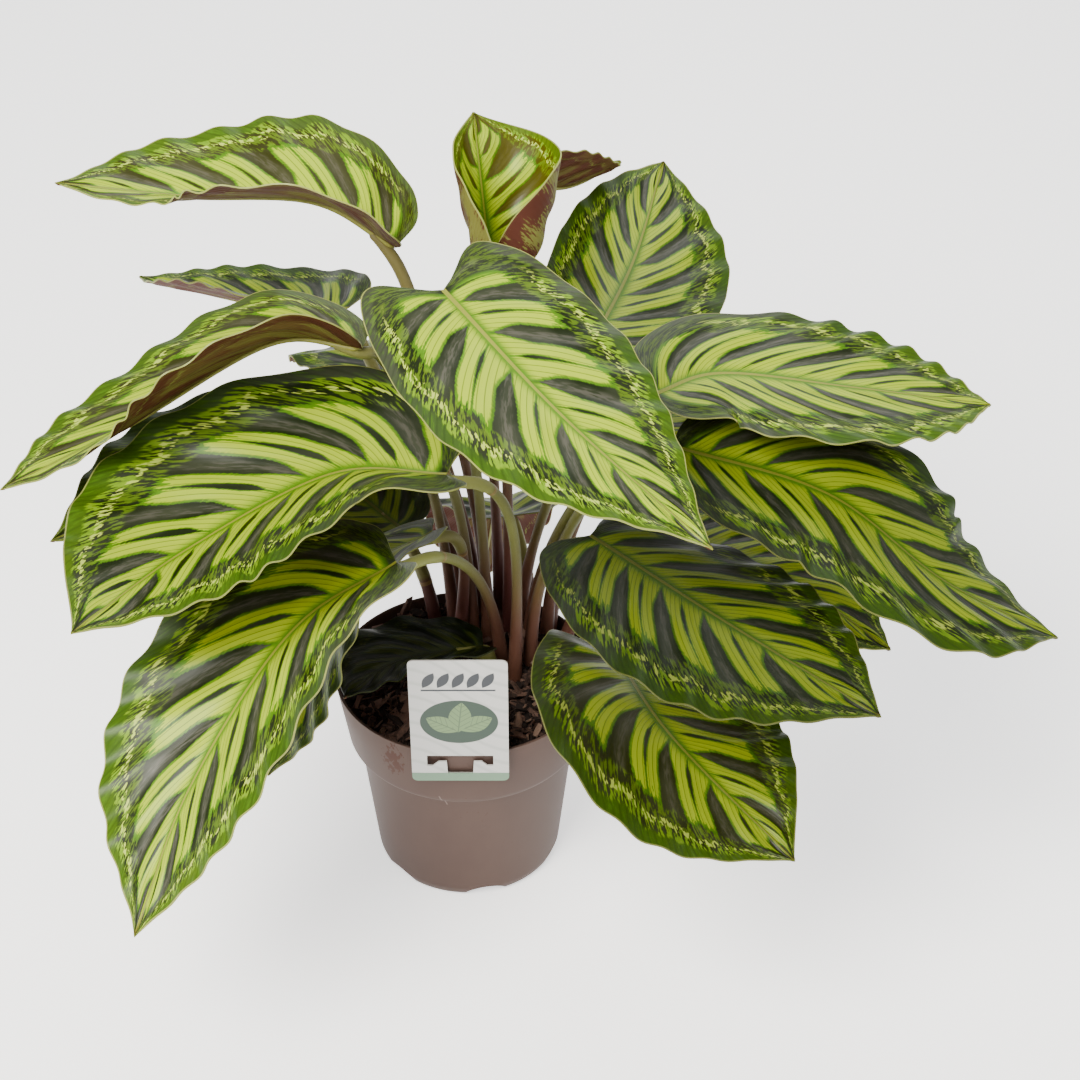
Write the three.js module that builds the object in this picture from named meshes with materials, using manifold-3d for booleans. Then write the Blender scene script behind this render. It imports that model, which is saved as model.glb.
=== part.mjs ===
// A potted moonlight calathea: a plastic nursery pot full of bark soil, a plain card hooked over its
// rim, and broad patterned leaves, each on its own stalk that stands in a hole in the soil.
// Millimetres, +Z up, origin at the middle of the pot's base, -Y is the side with the card.

import * as THREE from 'three';
import { mergeVertices } from 'three/addons/utils/BufferGeometryUtils.js';
import Module from 'manifold-3d';

const wasm = await Module();
wasm.setup();

const deg = THREE.MathUtils.degToRad;
const UP = new THREE.Vector3(0, 0, 1);

// Clearance between neighbouring pieces
const GAP = 0.3;

// Pot
const POT_HEIGHT = 120;
const POT_RIM_RADIUS = 70;
const POT_COLLAR_BOTTOM_Z = 82;
const POT_COLLAR_BOTTOM_RADIUS = 64;
const POT_STEP_DROP = 4;
const POT_WAIST_RADIUS = 58.5;
const POT_FOOT_HEIGHT = 6;
const POT_FOOT_RADIUS = 50.6;
const POT_FOOT_BEND = [49.1, 2.1];
const POT_FLAT_RADIUS = 46.4;
const POT_WALL = 1.6;
const POT_WALL_BEND = 1;
const POT_FLOOR_Z = 4;
const POT_SEGMENTS = 36;
const CHANNEL_COUNT = 6;
const CHANNEL_TURN = 0.2;
const CHANNEL_WIDTH = 20;
const CHANNEL_HEIGHT = 2.6;
const CHANNEL_INNER_RADIUS = 24;
const CHANNEL_OUTER_RADIUS = 56;
const DRAIN_HOLE_RADIUS = 4;
const DRAIN_HOLE_CIRCLE = 32;
const ROUND_SEGMENTS = 12;

// Soil
const SOIL_TOP_Z = 111;
const SOIL_MOUND = 4;
const SOIL_LUMP = 1.8;
const SOIL_LUMP_TURNS = [0.33, 0.29];
const SOIL_LUMP_STARTS = [0.9, 0.4];
const SOIL_RIPPLE_SHARE = 0.6;
const SOIL_RIPPLE_TURNS = [0.57, -0.41];
const SOIL_TILT = 0.05;
const SOIL_RINGS = 6;
const SOIL_CLEARANCE = 0.5;
const SOIL_EDGE_RADIUS = 65.2;
const STALK_HOLE_CLEARANCE = 0.36;

// Card on the rim
const CARD_WIDTH = 50;
const CARD_HEIGHT = 84;
const CARD_THICKNESS = 0.8;
const CARD_CORNER = 3;
const CARD_BELOW_RIM = 18;
const CARD_LEAN = deg(4);
const CARD_OFFSET_X = -1;
const SLOT_WIDTH = 34;
const SLOT_HEIGHT = 4;
const SLOT_LOBE = 3;
const TAB_GAP_WIDTH = 14;
const TAB_WIDTH = 13;
const TAB_LENGTH = 12.5;
const TAB_REACH = 3.7;
const TAB_DROP = 8;

// Blades
const BLADE_THICKNESS = 0.8;
const BLADE_COLUMNS = 3;
const LARGEST_CURL_PER_COLUMN = 40;
const MIDRIB_DEPTH = 1.2;
const VEIN_SPACING_POWER = 1.35;
const VEIN_CURVE_POWER = 1.2;
const LOBE_PLACE = 0.1;
const UNCURLING = 3;
const BASE_BLUNTNESS = 0.8;
const TIP_SHARPNESS = 0.3;
const NORMAL_STEP = 0.01;
const NORMAL_INSET = 0.03;

// Stalks
const STALK_RADIUS = 2.9;
const STALK_SIDES = 6;
const STALK_STEPS = 10;
const STALK_ROOT_DEPTH = 22;
const STALK_STRAIGHTNESS = 0.45;
const STALK_SEATING = 0.7;

// Every leaf: where its stalk leaves the soil, its midrib's points from stalk to tip, the greatest
// widths of its right and left halves, its roll about the midrib at base and tip, how each half rises
// (fold) and bends over (curl), where its belly lies, how far its veins sweep forward, how deep the
// lobe of each half reaches back, its wavy margin, and the knee that its stalk bends towards below the
// blade. A smaller uncurling opens a rolled blade sooner on the way to its tip.
const LEAVES = [
  {
    name: 'leaf_front_top', root: [12, 27], knee: [0, 20, 320],
    rib: [[-5, -30, 370], [50, -100, 345], [115, -160, 315]],
    halves: [52, 54], roll: [-15, 10], fold: [5, 10], curl: [-20, -15],
    belly: 0.7, sweep: 0.15, lobe: [0.2, 0.14], waves: 9, wave: 1.5,
  },
  {
    name: 'leaf_left_large', root: [26, -2], knee: [40, -20, 265],
    rib: [[-5, -50, 280], [-60, -50, 280], [-125, -90, 265], [-170, -155, 265]],
    halves: [69, 61], roll: [-5, 5], fold: [25, 25], curl: [0, -15],
    belly: 0.75, sweep: 0.2, lobe: [0.12, 0.12], waves: 9, wave: 2,
  },
  {
    name: 'leaf_left_hanging', root: [20, 12], knee: [5, -25, 230],
    rib: [[-30, -60, 235], [-80, -90, 215], [-125, -150, 170], [-150, -200, 120]],
    halves: [58, 57], roll: [-15, 5], fold: [20, 25], curl: [0, -10],
    belly: 0.7, sweep: 0.2, lobe: [0.08, 0.08], waves: 9, wave: 2.5,
  },
  {
    name: 'leaf_top_left', root: [12, 44], knee: [-10, 30, 285],
    rib: [[-30, 30, 360], [-70, 40, 380], [-135, 55, 375], [-195, 40, 390]],
    halves: [51, 50], roll: [5, 5], fold: [20, 40], curl: [0, 0],
    belly: 0.7, sweep: 0.15, lobe: [0.06, 0.06], waves: 9, wave: 1.5,
  },
  {
    name: 'leaf_mid_left', root: [-6, 36], knee: [-35, 25, 325],
    rib: [[-45, -15, 330], [-90, -10, 330], [-160, -30, 295], [-215, -70, 285]],
    halves: [50, 52], roll: [-5, -5], fold: [5, 40], curl: [0, 0],
    belly: 0.7, sweep: 0.2, lobe: [0.04, 0.04], waves: 9, wave: 1.5,
  },
  {
    name: 'leaf_back_left', root: [0, 48], knee: [-40, 65, 240],
    rib: [[-60, 75, 300], [-110, 115, 280], [-180, 145, 280]],
    halves: [44, 45], roll: [5, -15], fold: [5, 35], curl: [0, 0],
    belly: 0.75, sweep: 0.25, lobe: [0.08, 0.08], waves: 8, wave: 1,
  },
  {
    name: 'leaf_right_top', root: [33, 34], knee: [65, -10, 240],
    rib: [[95, -10, 300], [130, 10, 300], [195, 5, 295], [265, 5, 285]],
    halves: [53, 53], roll: [-15, 0], fold: [10, 10], curl: [-5, -20],
    belly: 0.7, sweep: 0.3, lobe: [0.04, 0.04], waves: 9, wave: 2,
  },
  {
    name: 'leaf_right_large', root: [43, 30], knee: [55, -15, 250],
    rib: [[105, -25, 280], [180, -45, 265], [235, -75, 235], [295, -75, 200]],
    halves: [59, 60], roll: [-5, 15], fold: [0, 20], curl: [-15, -15],
    belly: 0.8, sweep: 0.2, lobe: [0.04, 0.04], waves: 9, wave: 2,
  },
  {
    name: 'leaf_right_front', root: [34, 10], knee: [40, -5, 210],
    rib: [[65, -30, 230], [125, -105, 235], [195, -165, 225]],
    halves: [57, 55], roll: [0, -5], fold: [0, 5], curl: [-10, -25],
    belly: 0.8, sweep: 0.2, lobe: [0.12, 0.12], waves: 9, wave: 2,
  },
  {
    name: 'leaf_right_low', root: [43, 16], knee: [70, -15, 155],
    rib: [[80, -35, 155], [105, -110, 165], [160, -175, 145]],
    halves: [64, 56], roll: [25, -15], fold: [10, 10], curl: [-5, -20],
    belly: 0.75, sweep: 0.2, lobe: [0.16, 0.16], waves: 9, wave: 2,
  },
  {
    name: 'leaf_back_top', root: [28, 50], knee: [60, 5, 245],
    rib: [[65, 35, 300], [90, 125, 300], [110, 215, 315]],
    halves: [54, 44], roll: [-5, -20], fold: [0, 0], curl: [-15, -15],
    belly: 0.75, sweep: 0.25, lobe: [0.1, 0.1], waves: 8, wave: 1.5,
  },
  {
    name: 'leaf_left_under', root: [-5, 24], knee: [10, 15, 205],
    rib: [[-15, -5, 215], [-60, -30, 195], [-100, -75, 110]],
    halves: [42, 42], roll: [-25, 0], fold: [5, 15], curl: [-10, -5],
    belly: 0.75, sweep: 0.2, lobe: [0.1, 0.1], waves: 8, wave: 2,
  },
  {
    name: 'leaf_soil_small', root: [12, -8], knee: [15, 5, 130],
    rib: [[10, -5, 140], [-35, -25, 145], [-60, -60, 150]],
    halves: [31, 26], roll: [-5, -10], fold: [15, 20], curl: [0, 0],
    belly: 0.75, sweep: 0.2, lobe: [0.1, 0.1], waves: 6, wave: 2,
  },
  {
    name: 'leaf_young_rolled', root: [23, 36], knee: [25, 10, 290],
    rib: [[18, 20, 330], [13, 35, 375], [8, 55, 420]],
    halves: [64, 42], roll: [-20, -30], fold: [-20, 20], curl: [330, 110],
    belly: 0.9, sweep: 0.2, lobe: [0, 0], waves: 6, wave: 0.5, uncurling: 1.3,
  },
  {
    name: 'leaf_back_right', root: [18, 54], knee: [5, 95, 270],
    rib: [[25, 110, 355], [55, 155, 330], [85, 195, 325]],
    halves: [26, 40], roll: [0, 0], fold: [65, 5], curl: [0, 0],
    belly: 0.75, sweep: 0.2, lobe: [0.08, 0.08], waves: 8, wave: 0.8,
  },
  {
    name: 'leaf_left_behind', root: [4, 28], knee: [0, 25, 260],
    rib: [[-30, 15, 255], [-110, -10, 260], [-195, -70, 255]],
    halves: [55, 50], roll: [0, 0], fold: [15, 10], curl: [-10, -20],
    belly: 0.75, sweep: 0.2, lobe: [0.1, 0.1], waves: 8, wave: 2,
  },
  {
    name: 'leaf_right_middle', root: [50, 22], knee: [80, 30, 185],
    rib: [[105, 15, 200], [165, -10, 190], [220, -40, 165]],
    halves: [48, 48], roll: [0, 0], fold: [10, 10], curl: [-10, -20],
    belly: 0.75, sweep: 0.2, lobe: [0.1, 0.1], waves: 8, wave: 2,
  },
  {
    name: 'leaf_inner_left', root: [-16, 44], knee: [-25, 55, 155],
    rib: [[-35, 60, 170], [-75, 85, 185], [-125, 120, 165]],
    halves: [45, 45], roll: [0, 0], fold: [10, 10], curl: [-10, -10],
    belly: 0.75, sweep: 0.2, lobe: [0.1, 0.1], waves: 8, wave: 2,
  },
  {
    name: 'leaf_back_hanging', root: [38, 44], knee: [30, 65, 155],
    rib: [[25, 80, 165], [15, 130, 140], [5, 165, 60]],
    halves: [40, 40], roll: [0, 0], fold: [10, 10], curl: [-10, -10],
    belly: 0.75, sweep: 0.2, lobe: [0.1, 0.1], waves: 8, wave: 2,
  },
  {
    name: 'leaf_back_low_right', root: [44, 38], knee: [60, 75, 180],
    rib: [[85, 95, 205], [140, 140, 205], [195, 180, 170]],
    halves: [48, 48], roll: [0, 0], fold: [10, 10], curl: [-10, -15],
    belly: 0.75, sweep: 0.2, lobe: [0.1, 0.1], waves: 8, wave: 2,
  },
  {
    name: 'leaf_back_low_left', root: [8, 54], knee: [-10, 85, 195],
    rib: [[-25, 110, 225], [-55, 165, 225], [-80, 220, 185]],
    halves: [48, 48], roll: [0, 0], fold: [10, 10], curl: [-10, -15],
    belly: 0.75, sweep: 0.2, lobe: [0.1, 0.1], waves: 8, wave: 2,
  },
];

// Geometry helpers

// Turns a triangle soup into a solid that can be cut or joined.
function toSolid(geometry) {
  const bare = new THREE.BufferGeometry();
  bare.setAttribute('position', geometry.getAttribute('position'));
  bare.setIndex(geometry.getIndex());
  const merged = mergeVertices(bare, 1e-3);
  return new wasm.Manifold(new wasm.Mesh({
    numProp: 3,
    vertProperties: new Float32Array(merged.getAttribute('position').array),
    triVerts: new Uint32Array(merged.getIndex().array),
  }));
}

// Turns a cut or joined solid back into a geometry.
function toGeometry(solid) {
  const mesh = solid.getMesh();
  const geometry = new THREE.BufferGeometry();
  geometry.setAttribute('position', new THREE.BufferAttribute(new Float32Array(mesh.vertProperties), 3));
  geometry.setIndex(new THREE.BufferAttribute(new Uint32Array(mesh.triVerts), 1));
  return geometry;
}

// A lathe turned so that its axis is Z.
function turned(profile, segments) {
  return new THREE.LatheGeometry(profile, segments).rotateX(Math.PI / 2);
}

// Leaf blade

// Half-width of the blade, as a share of its greatest, where vein x meets the margin.
function marginReach(leaf, x) {
  return Math.sin(Math.PI * x ** leaf.belly) ** (BASE_BLUNTNESS + TIP_SHARPNESS * x);
}

// Where vein x starts on the midrib, as a share of its length.
function veinStart(x) {
  return x ** VEIN_SPACING_POWER;
}

// How far towards the tip vein x ends beyond its start; near the base it sweeps back into a lobe.
function veinAdvance(leaf, x, half) {
  const lobe = (x / LOBE_PLACE) * Math.exp(1 - x / LOBE_PLACE);
  return leaf.sweep * Math.sin(Math.PI * x) - leaf.lobe[half] * lobe;
}

// The midrib's point and its three directions at length u, with u < 0 straight back from the base.
function ribFrame(leaf, u) {
  const share = THREE.MathUtils.clamp(u / leaf.length, 0, 1);
  const point = leaf.curve.getPointAt(share);
  const along = leaf.curve.getTangentAt(share);
  if (u < 0) {
    point.addScaledVector(along, u);
  }
  const side = leaf.side.clone().addScaledVector(along, -leaf.side.dot(along)).normalize();
  const rise = side.clone().cross(along);
  const roll = deg(THREE.MathUtils.lerp(leaf.roll[0], leaf.roll[1], share));
  const right = side.clone().multiplyScalar(Math.cos(roll)).addScaledVector(rise, Math.sin(roll));
  const normal = rise.clone().multiplyScalar(Math.cos(roll)).addScaledVector(side, -Math.sin(roll));
  return { point, along, right, normal };
}

// A point of the blade's upper face: vein x, and share t of the way from the midrib to the margin.
// The sign of t tells the right half from the left.
function bladePoint(leaf, x, t) {
  const hand = t < 0 ? -1 : 1;
  const half = hand > 0 ? 0 : 1;
  const out = Math.abs(t);
  const opening = 1 - x ** (leaf.uncurling ?? UNCURLING);
  const fold = deg(leaf.fold[half]) * opening;
  const curl = deg(leaf.curl[half]) * opening || 1e-3;
  const reach = leaf.halves[half] * marginReach(leaf, x);
  const u = leaf.length * (veinStart(x) + veinAdvance(leaf, x, half) * out ** VEIN_CURVE_POWER);
  const sideways = reach * (Math.sin(fold + curl * out) - Math.sin(fold)) / curl;
  const wave = leaf.wave * Math.cos(2 * Math.PI * leaf.waves * x) * hand * out ** 2 * Math.sin(Math.PI * x);
  const upwards = reach * (Math.cos(fold) - Math.cos(fold + curl * out)) / curl + wave;
  const frame = ribFrame(leaf, u);
  return frame.point.addScaledVector(frame.right, hand * sideways).addScaledVector(frame.normal, upwards);
}

// The upper face's outward direction, from points a little to each side.
function bladeNormal(leaf, x, t) {
  const inX = THREE.MathUtils.clamp(x, NORMAL_INSET, 1 - NORMAL_INSET);
  const inT = THREE.MathUtils.clamp(t, NORMAL_INSET - 1, 1 - NORMAL_INSET);
  const alongX = bladePoint(leaf, inX + NORMAL_STEP, inT).sub(bladePoint(leaf, inX - NORMAL_STEP, inT));
  const acrossT = bladePoint(leaf, inX, inT + NORMAL_STEP).sub(bladePoint(leaf, inX, inT - NORMAL_STEP));
  return acrossT.cross(alongX).normalize();
}

// A closed blade: rows along the veins, columns across, alike on both faces, meeting at base and tip.
// Under its midrib it is thicker, by less and less towards the tip.
function bladeGeometry(leaf) {
  const rows = 2 * leaf.waves;
  const halfColumns = Math.max(BLADE_COLUMNS, Math.ceil(Math.max(...leaf.curl) / LARGEST_CURL_PER_COLUMN));
  const columns = 2 * halfColumns;
  const positions = [];
  const index = [];
  const upper = [];
  const lower = [];
  for (let i = 0; i <= rows; i++) {
    upper.push([]);
    lower.push([]);
    for (let j = 0; j <= columns; j++) {
      const isEnd = i === 0 || i === rows;
      if (isEnd && j > 0) {
        upper[i].push(upper[i][0]);
        lower[i].push(lower[i][0]);
        continue;
      }
      const x = i / rows;
      const t = isEnd ? 0 : j / halfColumns - 1;
      const rib = t === 0 ? MIDRIB_DEPTH * (1 - x) : 0;
      const top = bladePoint(leaf, x, t);
      const bottom = top.clone().addScaledVector(bladeNormal(leaf, x, t), -BLADE_THICKNESS - rib);
      upper[i].push(positions.length / 3);
      positions.push(top.x, top.y, top.z);
      lower[i].push(positions.length / 3);
      positions.push(bottom.x, bottom.y, bottom.z);
    }
  }
  const addTriangle = (a, b, c) => {
    if (a !== b && b !== c && c !== a) {
      index.push(a, b, c);
    }
  };
  for (let i = 0; i < rows; i++) {
    for (let j = 0; j < columns; j++) {
      addTriangle(upper[i][j], upper[i][j + 1], upper[i + 1][j + 1]);
      addTriangle(upper[i][j], upper[i + 1][j + 1], upper[i + 1][j]);
      addTriangle(lower[i][j], lower[i + 1][j + 1], lower[i][j + 1]);
      addTriangle(lower[i][j], lower[i + 1][j], lower[i + 1][j + 1]);
    }
    addTriangle(upper[i][0], upper[i + 1][0], lower[i + 1][0]);
    addTriangle(upper[i][0], lower[i + 1][0], lower[i][0]);
    addTriangle(upper[i][columns], lower[i + 1][columns], upper[i + 1][columns]);
    addTriangle(upper[i][columns], lower[i][columns], lower[i + 1][columns]);
  }
  const geometry = new THREE.BufferGeometry();
  geometry.setAttribute('position', new THREE.Float32BufferAttribute(positions, 3));
  geometry.setIndex(index);
  return geometry;
}

// Stalk

// The stalk's line, from its root in the soil up to the underside of the blade's base. The more it
// comes from below, and not along the midrib, the nearer the middle of its end is to the blade.
function stalkPath(leaf, extraDepth) {
  const frame = ribFrame(leaf, 0);
  const knee = new THREE.Vector3(...leaf.knee);
  const arrive = frame.point.clone().sub(knee).normalize();
  const rise = Math.abs(arrive.dot(frame.normal));
  const clearance = GAP + STALK_RADIUS * Math.sqrt(1 - rise ** 2) * (1 - STALK_SEATING * rise);
  const drop = BLADE_THICKNESS + MIDRIB_DEPTH + clearance;
  const end = frame.point.clone().addScaledVector(frame.normal, -drop);
  const root = new THREE.Vector3(leaf.root[0], leaf.root[1], SOIL_TOP_Z - STALK_ROOT_DEPTH - extraDepth);
  const low = root.clone().addScaledVector(UP, STALK_STRAIGHTNESS * root.distanceTo(end));
  return new THREE.CubicBezierCurve3(root, low, knee, end);
}

function stalkGeometry(leaf, radius, extraDepth) {
  const section = new THREE.Shape();
  for (let k = 0; k < STALK_SIDES; k++) {
    const angle = 2 * Math.PI * k / STALK_SIDES;
    const x = radius * Math.cos(angle);
    const y = radius * Math.sin(angle);
    if (k === 0) {
      section.moveTo(x, y);
    } else {
      section.lineTo(x, y);
    }
  }
  section.closePath();
  const path = stalkPath(leaf, extraDepth);
  return new THREE.ExtrudeGeometry(section, { steps: STALK_STEPS, bevelEnabled: false, extrudePath: path });
}

// Pot

const POT_STEP_BOTTOM_Z = POT_COLLAR_BOTTOM_Z - POT_STEP_DROP;

function potGeometry() {
  const profile = [
    [0, 0],
    [POT_FLAT_RADIUS, 0],
    POT_FOOT_BEND,
    [POT_FOOT_RADIUS, POT_FOOT_HEIGHT],
    [POT_WAIST_RADIUS, POT_STEP_BOTTOM_Z],
    [POT_COLLAR_BOTTOM_RADIUS, POT_COLLAR_BOTTOM_Z],
    [POT_RIM_RADIUS, POT_HEIGHT],
    [POT_RIM_RADIUS - POT_WALL, POT_HEIGHT],
    [POT_COLLAR_BOTTOM_RADIUS - POT_WALL, POT_COLLAR_BOTTOM_Z + POT_WALL_BEND],
    [POT_WAIST_RADIUS - POT_WALL, POT_STEP_BOTTOM_Z + POT_WALL_BEND],
    [POT_FOOT_RADIUS - POT_WALL, POT_FOOT_HEIGHT + POT_WALL_BEND],
    [POT_FLAT_RADIUS, POT_FLOOR_Z],
    [0, POT_FLOOR_Z],
  ];
  let pot = toSolid(turned(profile.map(([r, z]) => new THREE.Vector2(r, z)), POT_SEGMENTS));
  const channelLength = CHANNEL_OUTER_RADIUS - CHANNEL_INNER_RADIUS;
  for (let k = 0; k < CHANNEL_COUNT; k++) {
    const turn = 2 * Math.PI * (k + CHANNEL_TURN) / CHANNEL_COUNT;
    const channel = new THREE.CylinderGeometry(1, 1, channelLength, ROUND_SEGMENTS);
    channel.scale(0.5 * CHANNEL_WIDTH, 1, CHANNEL_HEIGHT);
    channel.translate(0, CHANNEL_INNER_RADIUS + 0.5 * channelLength, 0);
    channel.rotateZ(turn);
    const holeLength = 4 * POT_FLOOR_Z;
    const hole = new THREE.CylinderGeometry(DRAIN_HOLE_RADIUS, DRAIN_HOLE_RADIUS, holeLength, ROUND_SEGMENTS);
    hole.rotateX(Math.PI / 2);
    hole.translate(0, DRAIN_HOLE_CIRCLE, 0);
    hole.rotateZ(turn);
    pot = pot.subtract(toSolid(channel)).subtract(toSolid(hole));
  }
  return toGeometry(pot);
}

// Soil

// The soil's lumpy top: higher behind and in the middle.
function soilHeight(x, y) {
  const radius = Math.hypot(x, y) / POT_RIM_RADIUS;
  const mound = SOIL_MOUND * (1 - radius ** 2) + SOIL_TILT * y;
  const [turnX, turnY] = SOIL_LUMP_TURNS;
  const [startX, startY] = SOIL_LUMP_STARTS;
  const lumps = Math.sin(turnX * x + startX) * Math.sin(turnY * y + startY);
  const ripples = Math.sin(SOIL_RIPPLE_TURNS[0] * x + SOIL_RIPPLE_TURNS[1] * y);
  return SOIL_TOP_Z + mound + SOIL_LUMP * (lumps + SOIL_RIPPLE_SHARE * ripples);
}

// Soil that fills the pot, with a plain hole for every stalk.
function soilGeometry(stalks) {
  const inset = POT_WALL + SOIL_CLEARANCE;
  const bend = POT_WALL_BEND + GAP;
  const profile = [
    [0, POT_FLOOR_Z + GAP],
    [POT_FLAT_RADIUS - SOIL_CLEARANCE, POT_FLOOR_Z + GAP],
    [POT_FOOT_RADIUS - inset, POT_FOOT_HEIGHT + POT_WALL_BEND],
    [POT_WAIST_RADIUS - inset, POT_STEP_BOTTOM_Z + bend],
    [POT_COLLAR_BOTTOM_RADIUS - inset, POT_COLLAR_BOTTOM_Z + bend],
  ];
  for (let ring = 0; ring <= SOIL_RINGS; ring++) {
    profile.push([SOIL_EDGE_RADIUS * (1 - ring / SOIL_RINGS), SOIL_TOP_Z]);
  }
  const body = turned(profile.map(([r, z]) => new THREE.Vector2(r, z)), POT_SEGMENTS);
  const position = body.getAttribute('position');
  for (let i = 0; i < position.count; i++) {
    if (position.getZ(i) > POT_COLLAR_BOTTOM_Z + 2 * bend) {
      position.setZ(i, soilHeight(position.getX(i), position.getY(i)));
    }
  }
  let soil = toSolid(body);
  for (const leaf of stalks) {
    soil = soil.subtract(toSolid(stalkGeometry(leaf, STALK_RADIUS + STALK_HOLE_CLEARANCE, GAP)));
  }
  return toGeometry(soil);
}

// Card

// The card's outline with round corners, its slot's top edge at y = 0.
function cardOutline() {
  const side = 0.5 * CARD_WIDTH - CARD_CORNER;
  const low = CARD_CORNER - CARD_BELOW_RIM;
  const high = CARD_HEIGHT - CARD_BELOW_RIM - CARD_CORNER;
  const outline = new THREE.Shape();
  outline.absarc(side, low, CARD_CORNER, -Math.PI / 2, 0);
  outline.absarc(side, high, CARD_CORNER, 0, Math.PI / 2);
  outline.absarc(-side, high, CARD_CORNER, Math.PI / 2, Math.PI);
  outline.absarc(-side, low, CARD_CORNER, Math.PI, 1.5 * Math.PI);
  outline.closePath();
  return outline;
}

// The slot: a long opening with a lobe at each end and a deeper middle where the tab was.
function cardSlot() {
  const end = 0.5 * SLOT_WIDTH;
  const middle = 0.5 * TAB_GAP_WIDTH;
  const right = [
    [end, 0],
    [end, -SLOT_HEIGHT - SLOT_LOBE],
    [end - SLOT_LOBE, -SLOT_HEIGHT - SLOT_LOBE],
    [end - 2 * SLOT_LOBE, -SLOT_HEIGHT],
    [middle, -SLOT_HEIGHT],
    [0.5 * TAB_WIDTH, -TAB_LENGTH],
  ];
  const left = right.map(([x, y]) => [-x, y]).reverse();
  return new THREE.Path([...right, ...left].map(([x, y]) => new THREE.Vector2(x, y)));
}

// The card upright, its slot's top edge at z = 0 and its back at y = 0, with the tab that the slot
// frees folded back over the rim and down inside the pot.
function cardGeometry() {
  const outline = cardOutline();
  outline.holes.push(cardSlot());
  const sheet = new THREE.ExtrudeGeometry(outline, {
    depth: CARD_THICKNESS, bevelEnabled: false, curveSegments: 4,
  });
  sheet.rotateX(Math.PI / 2);
  const side = [
    [-0.5 * CARD_THICKNESS, 0],
    [-0.5 * CARD_THICKNESS, CARD_THICKNESS],
    [TAB_REACH + CARD_THICKNESS, CARD_THICKNESS],
    [TAB_REACH + CARD_THICKNESS, -TAB_DROP],
    [TAB_REACH, -TAB_DROP],
    [TAB_REACH, 0],
  ];
  const sideShape = new THREE.Shape(side.map(([y, z]) => new THREE.Vector2(y, z)));
  const tab = new THREE.ExtrudeGeometry(sideShape, { depth: TAB_WIDTH, bevelEnabled: false });
  tab.translate(0, 0, -0.5 * TAB_WIDTH);
  tab.rotateY(Math.PI / 2);
  tab.rotateX(Math.PI / 2);
  return toGeometry(toSolid(sheet).add(toSolid(tab)));
}

// Adds what follows from a leaf's own sizes: its midrib's curve and length, and the way to its right.
function prepareLeaf(leaf) {
  const points = leaf.rib.map((p) => new THREE.Vector3(...p));
  const curve = new THREE.CatmullRomCurve3(points, false, 'catmullrom', 0.5);
  const heading = points[points.length - 1].clone().sub(points[0]).setZ(0).normalize();
  const side = heading.clone().cross(UP);
  return { ...leaf, curve, length: curve.getLength(), side };
}

const leaves = LEAVES.map(prepareLeaf);

// Materials
const potMaterial = new THREE.MeshStandardMaterial({ color: 0xa08c84, roughness: 0.55, metalness: 0 });
const soilMaterial = new THREE.MeshStandardMaterial({ color: 0x38231c, roughness: 0.95, metalness: 0 });
const cardMaterial = new THREE.MeshStandardMaterial({ color: 0xe2e3df, roughness: 0.45, metalness: 0 });
const bladeMaterial = new THREE.MeshStandardMaterial({ color: 0x7fa23c, roughness: 0.4, metalness: 0 });
const stalkMaterial = new THREE.MeshStandardMaterial({ color: 0x8a8a4c, roughness: 0.5, metalness: 0 });

const group = new THREE.Group();

function addMesh(name, geometry, material) {
  const mesh = new THREE.Mesh(geometry, material);
  mesh.name = name;
  group.add(mesh);
  return mesh;
}

addMesh('pot', potGeometry(), potMaterial);
addMesh('soil', soilGeometry(leaves), soilMaterial);

const card = addMesh('card', cardGeometry(), cardMaterial);
card.position.set(CARD_OFFSET_X, -POT_RIM_RADIUS - GAP, POT_HEIGHT + GAP);
card.rotation.x = CARD_LEAN;

for (const leaf of leaves) {
  addMesh(leaf.name, bladeGeometry(leaf), bladeMaterial);
  addMesh(leaf.name.replace('leaf', 'stalk'), stalkGeometry(leaf, STALK_RADIUS, 0), stalkMaterial);
}

export default group;
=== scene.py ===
import bisect
import math
import random
from typing import NamedTuple

import bmesh
import bpy
from bpy.props import FloatProperty, FloatVectorProperty, IntProperty, PointerProperty
from mathutils import Matrix, Vector, noise


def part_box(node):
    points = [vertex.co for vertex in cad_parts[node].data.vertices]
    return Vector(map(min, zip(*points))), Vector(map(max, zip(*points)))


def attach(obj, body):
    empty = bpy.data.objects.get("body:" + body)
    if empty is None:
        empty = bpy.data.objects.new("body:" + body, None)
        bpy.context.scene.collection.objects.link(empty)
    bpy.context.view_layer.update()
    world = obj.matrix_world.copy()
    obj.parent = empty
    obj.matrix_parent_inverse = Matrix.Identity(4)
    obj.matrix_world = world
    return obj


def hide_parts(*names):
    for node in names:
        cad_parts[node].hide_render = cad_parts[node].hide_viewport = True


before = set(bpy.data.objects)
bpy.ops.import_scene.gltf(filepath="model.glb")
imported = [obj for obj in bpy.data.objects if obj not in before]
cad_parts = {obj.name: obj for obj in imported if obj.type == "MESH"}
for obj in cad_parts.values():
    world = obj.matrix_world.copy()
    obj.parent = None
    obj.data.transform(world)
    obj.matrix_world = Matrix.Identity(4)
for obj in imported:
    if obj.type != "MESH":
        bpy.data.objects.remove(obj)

bl_info = {
    "name": "Potted moonlight calathea",
    "version": (1, 0, 0),
    "blender": (4, 5, 0),
    "location": "View3D > Sidebar > Calathea",
    "description": "Dresses the plant's solids: patterned blades, stalks, bark soil, pot, card and stage",
    "category": "Object",
}

MM = 0.001
MM_PER_METRE = 1000
UP = Vector((0, 0, 1))

# Sizes from the frame
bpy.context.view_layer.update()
POT_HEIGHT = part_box("pot")[1].z
CARD_LOW, CARD_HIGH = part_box("card")

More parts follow.
